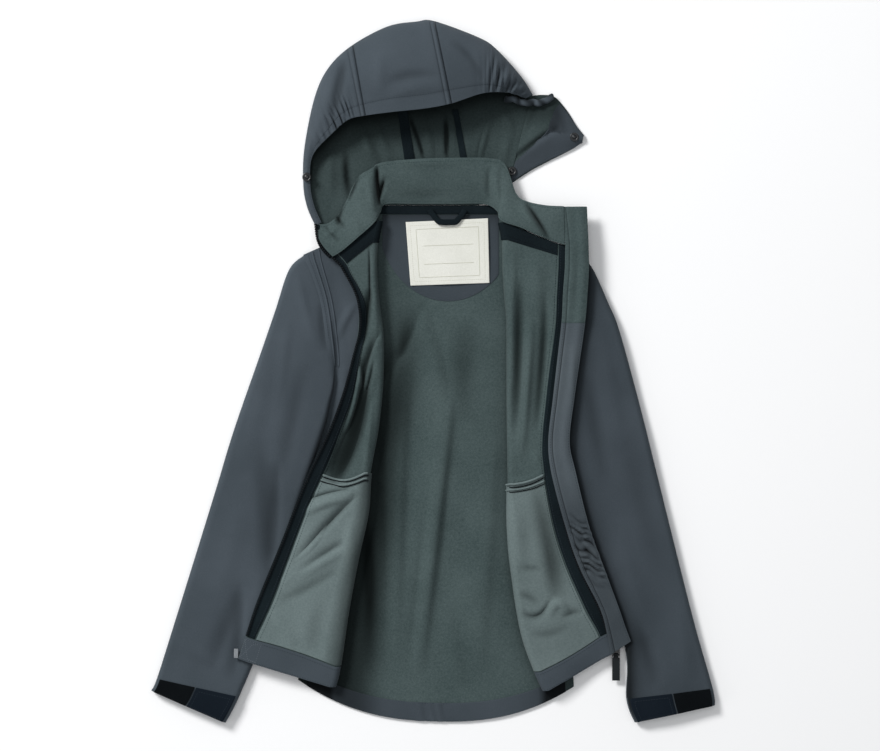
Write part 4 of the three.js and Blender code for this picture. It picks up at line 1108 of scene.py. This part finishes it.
# Hood corner
# The hood's right end is unsnapped and lies open as a triangle, fleece up, with a facing of shell cloth
# along its edges that carries two dark enamel snaps. A third snap holds the hood's left end.
CORNER = [
    # low x, y, high x, y, height, from the hood to the tip
    (82.4, 204.6, 108.2, 303.4, 1.5),
    (106, 220.4, 121, 304.4, 5),
    (125.1, 230.7, 133.6, 302, 6),
    (140, 238.2, 146.9, 287.1, 5),
    (155.5, 246.4, 157.7, 269.7, 4),
    (163.4, 252.8, 165, 259.4, 3),
]
CORNER_CREASES = [
    (70, 292, 78, 270, 88, 256, -2.4, 1.6, 3, 0.5),
    (140, 268, 122, 262, 78, 226, -3.0, 3, 3.5, 0.4),
    (110, 300, 104, 280, 92, 250, 2.2, 5, 5, 0.5),
    (122, 296, 132, 280, 146, 262, 1.2, 4, 4, 0.5),
]
SNAP_PLACES = {
    "corner_tip": (154.8, 257.7, 6.2),
    "corner_low": (86.5, 220.5, 4.4),
    "left": (-138.6, 213.3, 12.4),
}
SNAP_RADIUS = 4.9
SNAP_HEIGHT = 2.2


def corner_points(places, shares):
    """The corner from its lower edge to its upper one: raised by height * sin^2(pi s) and creased."""
    row = columns_at(CORNER, places)
    share = np.asarray(shares, float)[None, :]
    x, y = row[0] + (row[2] - row[0]) * share, row[1] + (row[3] - row[1]) * share
    lift = row[4] * np.sin(np.pi * share) ** 2 + creases(x, y, CORNER_CREASES)
    return np.stack([x, y, FLOOR_MID + np.maximum(lift, 0)], 2)


corner = corner_points(np.linspace(0, 5, 70), np.linspace(0, 1, 60))
# Painted shade on the corner: some all over, a band about y = 288 below the brim's rolled end, and its
# creases.
corner_shade = 0.25 + 0.5 * bell(corner[..., 1], 288, 18) + dents(corner, CORNER_CREASES, 4, 0.5)
wear(cloth_wall("corner", corner, CLOTH, FLEECE, SHELL, painted_shade=corner_shade), "fleece", "hood_corner")
facing_places = np.linspace(0.1, 4.9, 70)
facing_top = np.interp(facing_places, [0, 1, 1.75, 2.1, 2.4, 5], [0.24, 0.33, 0.5, 0.8, 0.95, 0.97])
corner_facing = np.stack([corner_points([place], np.linspace(0.02, top, 30))[0]
                          for place, top in zip(facing_places, facing_top)])
# Painted shade on the facing: some all over, and more on its upper part about x = 133.
facing_shade = 0.2 + 0.5 * bell(corner_facing[..., 0], 133, 10) * (corner_facing[..., 1] > 262)
wear(cloth_wall("corner_facing", corner_facing, FACING, SHELL, lift=over(FACING), painted_shade=facing_shade),
     "shell", "hood_corner_facing")


def turned(name, profile, centre, sides, material):
    """A closed lathe round an upright axis at centre from (radius, height) pairs, first and last on it."""
    turns = np.linspace(0, 2 * np.pi, sides, endpoint=False)
    rings = [[(r * math.cos(t), r * math.sin(t), h) for t in turns] for r, h in profile]
    corners = np.array(rings).reshape(-1, 3) + np.array(centre, float)
    faces = []
    for k in range(len(profile) - 1):
        for j in range(sides):
            a, b = k * sides + j, k * sides + (j + 1) % sides
            faces.append((a, b, b + sides, a + sides))
    return mesh_piece(name, corners, np.array(faces), [material])


ENAMEL = fabric("dark_enamel", GRAIN, (11, 14, 17), (25, 28, 31), 0.32, 0.0, 0.02, shine=0.45)
snap_profile = [(0.01, 0), (SNAP_RADIUS - 0.3, 0), (SNAP_RADIUS, 0.35), (SNAP_RADIUS, 1.1),
                (SNAP_RADIUS - 0.5, 1.7), (3.4, 1.5), (2.9, 1.1), (2.5, 1.6), (1.6, SNAP_HEIGHT),
                (0.01, SNAP_HEIGHT)]
for snap_name, (x, y, z) in SNAP_PLACES.items():
    wear(turned(f"{snap_name}_snap", snap_profile, (x, y, z), 24, ENAMEL),
         "dark_metal", f"snap_{snap_name}")

# Rolled end of the brim
# Past the brim's right end its elastic casing twists over on itself and runs on along the corner's upper
# edge as a crinkled roll of shell cloth.
ROLL_LINE = [(78, 299.5, 13), (89, 297.5, 12), (99, 295.6, 10.5), (108, 294.6, 9), (116, 295.4, 8),
             (124, 298, 7), (132, 301.4, 5.5)]
ROLL_WIDE, ROLL_HIGH, ROLL_SIDES = 3.6, 2.8, 12
roll_line = along(ROLL_LINE, np.linspace(0, 6, 70))
roll_line[:, 1] += 0.8 * np.sin(roll_line[:, 0] / 3.3) + 0.45 * np.sin(roll_line[:, 0] / 1.7)
roll_line[:, 2] += 0.5 * np.sin(roll_line[:, 0] / 2.3 + 1)
brim_roll = tube("brim_roll", roll_line, ROLL_WIDE, ROLL_HIGH, SHELL, ROLL_SIDES)
# Painted shade in bands that wind round the roll, standing for the light and shade of its twisting.
shade_turn = roll_line[:, :1] / 2.1 + 2 * np.pi * np.arange(ROLL_SIDES) / ROLL_SIDES
shade_points(brim_roll, 0.4 + 0.4 * np.sin(shade_turn + 0.8 * np.sin(roll_line[:, :1] / 3.7)))
wear(brim_roll, "shell")

# Hood seam tapes
# Inside the hood a dark tape covers each seam's raw edges. They come down from the brim's shadow to the
# collar, a little aslant.
HOOD_TAPES = {"left": (-34, 288, -26, 232, 11), "right": (24, 288, 33.5, 234, 7)}
for tape_name, (top_x, top_y, low_x, low_y, wide) in HOOD_TAPES.items():
    share = np.linspace(0, 1, 40)
    x = (top_x + (low_x - top_x) * share)[:, None] + wide * np.linspace(-0.5, 0.5, 6)[None, :]
    y = np.broadcast_to((top_y + (low_y - top_y) * share)[:, None], x.shape)
    tape = np.stack([x, y, FLOOR_MID + lining_folds(x, y)], 2)
    wear(cloth_wall(f"{tape_name}_hood_tape", tape, TAPE, TAPE_CLOTH, lift=over(TAPE, 0.4)),
         "tape", f"hood_seam_tape_{tape_name}")

# Sleeves
# Each sleeve is a flat tube of shell cloth with soft rounded edges, open at the armhole and the cuff. Long
# shallow folds run down from the shoulder.
SLEEVES = {
    "left": [
        # outer x, y, inner x, y, height of the tube, bow of the armhole
        (-140.9, 127.6, -108.9, -2.6, 11, 8.6),
        (-157.6, 111.4, -110, -18, 13.4, 7),
        (-172.4, 67.4, -114.4, -38, 14, 3),
        (-187.3, 23.9, -119.6, -60, 14, 0),
        (-217.9, -64.1, -136, -108, 14, 0),
        (-236.6, -125.7, -150.6, -155, 14, 0),
        (-256.6, -190.6, -163, -205, 13.6, 0),
        (-282.3, -273.1, -186, -287, 12.6, 0),
        (-302.4, -336.6, -213.8, -356, 11.4, 0),
        (-308.8, -350.1, -228.6, -384.6, 11, 0),
    ],
    "right": [
        (149.4, 127.6, 122.2, -2.6, 11, -7.8),
        (170.6, 118, 125.6, -18, 13.4, -7),
        (191.7, 74.2, 130, -38, 14, -3),
        (204, 43, 135.4, -60, 14, 0),
        (226.3, -38.8, 150, -108, 14, 0),
        (241.6, -100, 160.6, -155, 14, 0),
        (256.4, -160, 172, -205, 13.6, 0),
        (284.9, -273.1, 210.5, -300, 12.6, 0),
        (305.8, -347.2, 212.8, -358.6, 11.4, 0),
        (308.5, -366, 221.9, -384.6, 11, 0),
    ],
}
SLEEVE_CREASES = [
    (-150, 110, -142, 70, -128, 30, 1.6, 5, 6, 0.5),
    (-122, 75, -122, 50, -116, 20, -2.2, 3, 5, 0.5),
    (-176, 40, -186, -30, -212, -110, 1.8, 10, 12, 0.5),
    (-140, 10, -152, -50, -168, -120, -2.2, 8, 10, 0.5),
    (-172, -96, -170, -160, -184, -246, -4.0, 5, 9, 0.5),
    (-158, 60, -164, 20, -170, -40, 1.6, 6, 8, 0.5),
    (-214, -230, -206, -280, -222, -340, -3.0, 5, 8, 0.5),
    (-188, -70, -182, -140, -186, -210, -2.2, 9, 9, 0.5),
    (-205, -120, -215, -190, -240, -260, 1.8, 12, 12, 0.5),
    (-170, -200, -196, -240, -206, -300, 2.0, 10, 10, 0.5),
    (-214, -240, -224, -280, -246, -330, -2.4, 8, 10, 0.5),
    (-282, -290, -262, -310, -240, -318, 1.6, 6, 8, 0.5),
    (180, 60, 190, -10, 206, -80, 1.8, 9, 10, 0.5),
    (170, 0, 176, -60, 192, -130, -2.0, 8, 8, 0.5),
    (214, -60, 226, -140, 250, -220, -1.6, 12, 12, 0.5),
    (200, -160, 214, -230, 240, -290, 2.0, 10, 12, 0.5),
    (224, -270, 236, -310, 246, -345, -2.2, 7, 8, 0.5),
    (270, -250, 276, -300, 280, -335, 1.6, 9, 9, 0.5),
]
CUFF_FROM, LAST_RING = 8, 9
UPPER_SIDE = 8


def sleeve_points(rows, rings, places):
    """A sleeve at rings and places round it: 0 to 1 along the floor from the inner edge, 1 to 2 round the
    outer edge, 2 to 3 back along the top and 3 to 4 round the inner one, as a flattened tube."""
    out_x, out_y, in_x, in_y, height, bow = columns_at(rows, rings)
    place = np.asarray(places, float)[None, :]
    radius = (height - CLOTH) / 2
    edge = radius / np.hypot(out_x - in_x, out_y - in_y)
    leg = np.floor(place).astype(int)
    t = place - leg
    turn = np.pi * (t - 0.5)
    across = np.choose(leg, [edge + (1 - 2 * edge) * t, 1 - edge + edge * np.cos(turn),
                             1 - edge + (2 * edge - 1) * t, edge - edge * np.cos(turn)])
    up = np.choose(leg, [-1 + 0 * turn, np.sin(turn), 1 + 0 * turn, -np.sin(turn)])
    x = in_x + (out_x - in_x) * across + bow * np.sin(np.pi * across)
    y = in_y + (out_y - in_y) * across
    lift = creases(x, y, SLEEVE_CREASES) + ripple(x, y, 31, 80, 1.6)
    lift = np.where(up > 0, lift * np.clip(up, 0, 1), np.abs(lift) * 0.25 * np.clip(-up, 0, 1))
    crown = 1.2 * np.sin(np.pi * across) * np.clip(up, 0, 1)
    return np.stack([x, y, FLOOR_MID + radius + radius * up + lift + crown], 2)


ROUND_SLEEVE = np.concatenate([np.linspace(0, 1, 14, endpoint=False), np.linspace(1, 2, 12, endpoint=False),
                               np.linspace(2, 3, 40, endpoint=False), np.linspace(3, 4, 12, endpoint=False)])
for sleeve_name, rows in SLEEVES.items():
    arm = sleeve_points(rows, np.linspace(0, LAST_RING, 200), ROUND_SLEEVE)
    # Painted shade in the folds of each sleeve's upper side, and on the right one a painted shadow of the
    # wind flap, darkest beside its edge.
    shade = dents(arm, SLEEVE_CREASES, 9, 0.4) * (arm[..., 2] > UPPER_SIDE)
    if sleeve_name == "right":
        edge = np.array([row[:2] for row in FLAP_EDGE], float)
        past = np.clip(arm[..., 0] - np.interp(arm[..., 1], edge[:, 1], edge[:, 0]), 0, None)
        shade = shade + (0.12 + 0.8 * np.exp(-past / 9)) * (arm[..., 2] > UPPER_SIDE)
    wear(cloth_wall(f"{sleeve_name}_sleeve", arm, CLOTH, SHELL, FLEECE, round_across=True, painted_shade=shade),
         "shell", f"sleeve_{sleeve_name}")

# Cuffs
# A band of loop tape covers the outer half of each cuff, and beside it lies the tab that closes it, dark
# woven tape stitched all round.
LOOP_CLOTH = fabric("loop_tape", NAP, (4, 6, 8), (16, 20, 23), 0.9, 0.0, 0.5,
                    {"Tuft": 700.0, "Pile": 2200.0})
TAB_CLOTH = fabric("cuff_tab_cloth", WEAVE, (14, 22, 30), (25, 33, 42), 0.75, 0.0, 0.15)
CUFF_PIECES = {"band": (1.9, 2.46, LOOP_CLOTH, "loop_tape"), "tab": (2.48, 3.1, TAB_CLOTH, "tape")}
for sleeve_name, rows in SLEEVES.items():
    for cuff_name, (first, last, finish, cuff_slot) in CUFF_PIECES.items():
        points = sleeve_points(rows, np.linspace(CUFF_FROM, LAST_RING, 24), np.linspace(first, last, 40))
        piece = cloth_wall(f"{sleeve_name}_cuff_{cuff_name}", points, FACING, finish, lift=over(FACING))
        wear(piece, cuff_slot, f"cuff_{cuff_name}_{sleeve_name}")

# Pocket welts
# The top of each pocket bag is rolled over a cord and topstitched, so that two round ridges run across
# the front. The right ones stick out a little past the fold. A thin black tube lies along each one's groove.
THREAD_COLOURS = {
    "dark": ((36, 44, 50), (52, 60, 66)),
    "green": ((38, 52, 52), (54, 68, 68)),
    "black": ((2, 6, 10), (18, 22, 26)),
    "pale": ((92, 100, 106), (112, 120, 126)),
    "cream": ((188, 188, 172), (204, 204, 188)),
}
THREADS = {label: fabric(f"{label}_thread", GRAIN, *colours, 0.8, 0.0, 0.06)
           for label, colours in THREAD_COLOURS.items()}
WELT_COLUMNS = np.linspace(1.8, 2.99, 46)
PAST_FOLD = np.array([[-5.5, -0.8, -2.5], [-2.5, -0.4, -0.8]])
for side_name, (rows, folds) in FRONTS.items():
    for welt_name, place, radius in (("upper", 5.0, 1.35), ("lower", 4.87, 1.1)):
        welt = front_points(rows, [place], WELT_COLUMNS, folds)[0]
        welt[:, 2] += over(FACING) + 1.0
        if side_name == "right":
            welt = np.concatenate([welt[:1] + PAST_FOLD, welt])
        wear(tube(f"{side_name}_{welt_name}_welt", welt, radius, radius, POCKET_CLOTH), "pocket")
        below = front_points(rows, [place - 0.1, place - 0.055, place], WELT_COLUMNS, folds)
        groove = moved_out(below, over(FACING) + 1.3)[1]
        wear(tube(f"{side_name}_{welt_name}_groove", groove, 0.5, 0.4, THREADS["black"], 6), "pocket")

# Armhole seam of the left front
# Sleeve and front are joined by a lapped seam, topstitched twice, that stands up as a narrow double ridge.
armhole = front_points(FRONT_LEFT, np.linspace(8.0, 12.9, 90), [0.0, 0.11, 0.2, 0.4], LEFT_CREASES)
for ridge_name, column, radius in (("outer", 1, 1.1), ("inner", 2, 1.0)):
    ridge = armhole[:, column] + np.array([0.6, 0, CLOTH / 2 + 0.1])
    wear(tube(f"armhole_{ridge_name}_ridge", ridge, radius, radius * 0.8, SHELL), "shell")

# Zip along the collar's end
# The left half of the zip runs on up the collar's front end to its top, tape outside and teeth along it.
ZIP_TOP = [(-112.6, 125.8, 19.4), (-119.8, 132.8, 19.4), (-124.8, 140.5, 18.8), (-127.2, 149, 18),
           (-128.6, 161.6, 16.6)]
zip_top = along(ZIP_TOP, np.linspace(0, 4, 60))
wear(tube("left_zip_top_tape", zip_top - np.array([-1.6, 0.6, 0.2]), 2.6, 0.5, TAPE_CLOTH), "tape")
teeth_at = pieces_along(zip_top + np.array([0, 0, 0.9]), TOOTH_PITCH)
wear(small_parts("left_zip_top_teeth", TOOTH, TOOTH_FACES, *teeth_at, (3.4, 1.6, TEETH_THICK), TOOTH_PLASTIC),
     "zip_teeth")

# Hanger loop
# A narrow dark tape folded at two corners hangs from the neck tape over the label's top.
LOOP_LINE = [(-4, 178.5, 6.6), (-1, 173.5, 6.8), (5.5, 165.4, 7.2), (9.5, 164.2, 7.3), (15, 164, 7.3),
             (21, 164.2, 7.3), (25.5, 165.2, 7.2), (32, 173.2, 6.8), (35, 178.5, 6.6)]
loop_line = along(LOOP_LINE, np.linspace(0, 8, 60))
wear(tube("loop", loop_line, 3.2, 0.7, TAPE_CLOTH, 12), "tape", "hanger_loop")

# Zip hardware
# The slider and the left end stop are enamelled metal, and the pull is a moulded dark rubber tab.
PULL_RUBBER = fabric("pull_rubber", GRAIN, (11, 15, 18), (24, 29, 32), 0.55, 0.0, 0.06, shine=0.2)
GREY_METAL = fabric("end_stop_metal", GRAIN, (112, 116, 120), (146, 150, 154), 0.35, 0.0, 0.02,
                    shine=0.5, metal=0.7)
for node_name, finish in (("zip_slider", ENAMEL), ("zip_pull", PULL_RUBBER), ("zip_end_left", GREY_METAL)):
    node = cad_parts[node_name]
    node.data.materials.clear()
    node.data.materials.append(finish)

# Stitches
# Every seam is topstitched. Each stitch is a short thread lying in the cloth, a little lower at its ends.
PILLOW, PILLOW_FACES = pillow()
STITCH = (0.55, 2.0, 0.45)
STITCH_PITCH = 2.9


def stitch(name, line, thread, slot, size=STITCH, pitch=STITCH_PITCH):
    """A row of stitches along a polyline that lies on the cloth's surface, in the named thread."""
    wear(small_parts(name, PILLOW, PILLOW_FACES, *pieces_along(line, pitch), size, THREADS[thread]), slot)


on_facing = over(FACING) + FACING / 2
on_tape = over(TAPE) + TAPE / 2
for side_name, (rows, folds) in FRONTS.items():
    hem = moved_out(front_points(rows, [0.1, 0.84, 0.92, 1.0], wrapped(3.9, 60), folds), on_facing)
    stitch(f"{side_name}_hem_stitches", hem[2, 8:], "dark", "shell")
    stitch(f"{side_name}_hem_lower_stitches", hem[0, 8:], "dark", "shell")
    if side_name == "left":
        box = front_points(rows, np.linspace(0.15, 0.92, 24), np.linspace(2.9, 3.93, 24), folds)
        box = moved_out(box, on_facing)
        cross = np.arange(24)
        lines = {"square": np.concatenate([box[0], box[:, -1], box[-1, ::-1], box[::-1, 0]]),
                 "rising": box[cross, cross], "falling": box[cross, cross[::-1]]}
        for line_name, line in lines.items():
            stitch(f"left_hem_{line_name}_stitches", line, "pale", "shell", (0.6, 1.3, 0.45), 2.2)
    bag = moved_out(front_points(rows, np.linspace(1.1, 4.8, 80), [2.06, 2.1, 2.9, 2.94], folds), on_facing)
    stitch(f"{side_name}_pocket_stitches", bag[:, 3], "green", "pocket")
    edge = moved_out(front_points(rows, np.linspace(1, 12.8, 180), [2.9, 2.96, 3.0], folds), CLOTH / 2)
    stitch(f"{side_name}_zip_stitches", edge[:, 1], "black", "fleece")
    tape = moved_out(front_points(rows, np.linspace(1.1, 12.9, 180), [3.1, 3.2, 3.3], folds), on_tape)
    stitch(f"{side_name}_tape_stitches", tape[:, 1], "dark", "tape")
    neck_rows = moved_out(front_points(rows, np.linspace(11.9, 13, 8), wrapped(2.94, 30), folds), on_tape)
    stitch(f"{side_name}_neck_stitches", neck_rows[1, 10:], "black", "tape")

chest = front_points(FRONT_LEFT, np.linspace(8, 12.7, 60), [0.0, 0.06, 0.14, 0.3], LEFT_CREASES)
chest = moved_out(chest, CLOTH / 2)
stitch("left_armhole_stitches", chest[:, 1], "dark", "shell")
stitch("left_armhole_second_stitches", chest[:, 2], "dark", "shell")

flap = moved_out(flap_points(np.linspace(0.1, 13.9, 240), [0.0, 0.1, 0.2, 0.8, 0.93, 1.0]), CLOTH / 2)
stitch("flap_inner_stitches", flap[:, 1], "dark", "shell")
stitch("flap_outer_stitches", flap[:, 4], "dark", "shell")

band = moved_out(collar_points(np.linspace(0.1, 12.9, 240), [0.0, 0.05, 0.1, 0.85, 0.93, 1.0]), CLOTH / 2)
stitch("collar_top_stitches", band[:, 4], "green", "fleece")
stitch("collar_seam_stitches", band[:, 1], "green", "fleece")

back_rows = moved_out(back_points(0.06, 0.96, 0.05, 0.95, 14, 120), on_facing)
stitch("back_hem_upper_stitches", back_rows[-1], "dark", "shell")
stitch("back_hem_lower_stitches", back_rows[1], "dark", "shell")

label_top = moved_out(label_points, LABEL_THICK / 2)
inner = label_top[3:-3, 3:-3]
border = np.concatenate([inner[0], inner[:, -1], inner[-1, ::-1], inner[::-1, 0]])
stitch("label_stitches", border, "cream", "label", (0.5, 1.7, 0.4), 2.4)
rules = {"upper": label_top[30, 11:49], "lower": label_top[16, 11:49],
         "frame_top": label_top[43, 7:53], "frame_low": label_top[6, 7:53],
         "frame_left": label_top[6:44, 7], "frame_right": label_top[6:44, 52]}
for rule_name, rule in rules.items():
    rule = rule + np.array([0, 0, 0.1])
    wear(tube(f"label_{rule_name}_rule", rule, 0.28, 0.12, THREADS["cream"], 6), "label")

brim = moved_out(hood_points(hood_ribs, [5.55, BRIM_STITCH, 5.7]), CLOTH / 2)
stitch("brim_stitches", brim[:, 1], "dark", "shell")
SEAM_STITCHES = {"left_outer": 5.84, "left_inner": 6.05, "right_outer": 8.82, "right_inner": 9.05}
for seam_name, seam_rib in SEAM_STITCHES.items():
    line = hood_points([seam_rib], np.linspace(3.4, 5.95, 90))[0]
    stitch(f"hood_{seam_name}_stitches", line + np.array([0, 0, CLOTH / 2 + 0.1]), "dark", "shell")

facing_line = moved_out(corner_facing, on_facing)
stitch("corner_low_stitches", facing_line[2:-2, 2], "dark", "shell")
stitch("corner_fleece_stitches", facing_line[2:-2, -2], "dark", "shell")

for sleeve_name, rows in SLEEVES.items():
    cuff = sleeve_points(rows, np.linspace(CUFF_FROM, LAST_RING, 12), np.linspace(2.5, 2.98, 40))
    cuff = moved_out(cuff, on_facing)
    ring = np.concatenate([cuff[1, 2:-1], cuff[1:-1, -2], cuff[-2, ::-1][1:-2], cuff[::-1, 2][1:-1]])
    stitch(f"{sleeve_name}_cuff_stitches", ring, "dark", "tape")
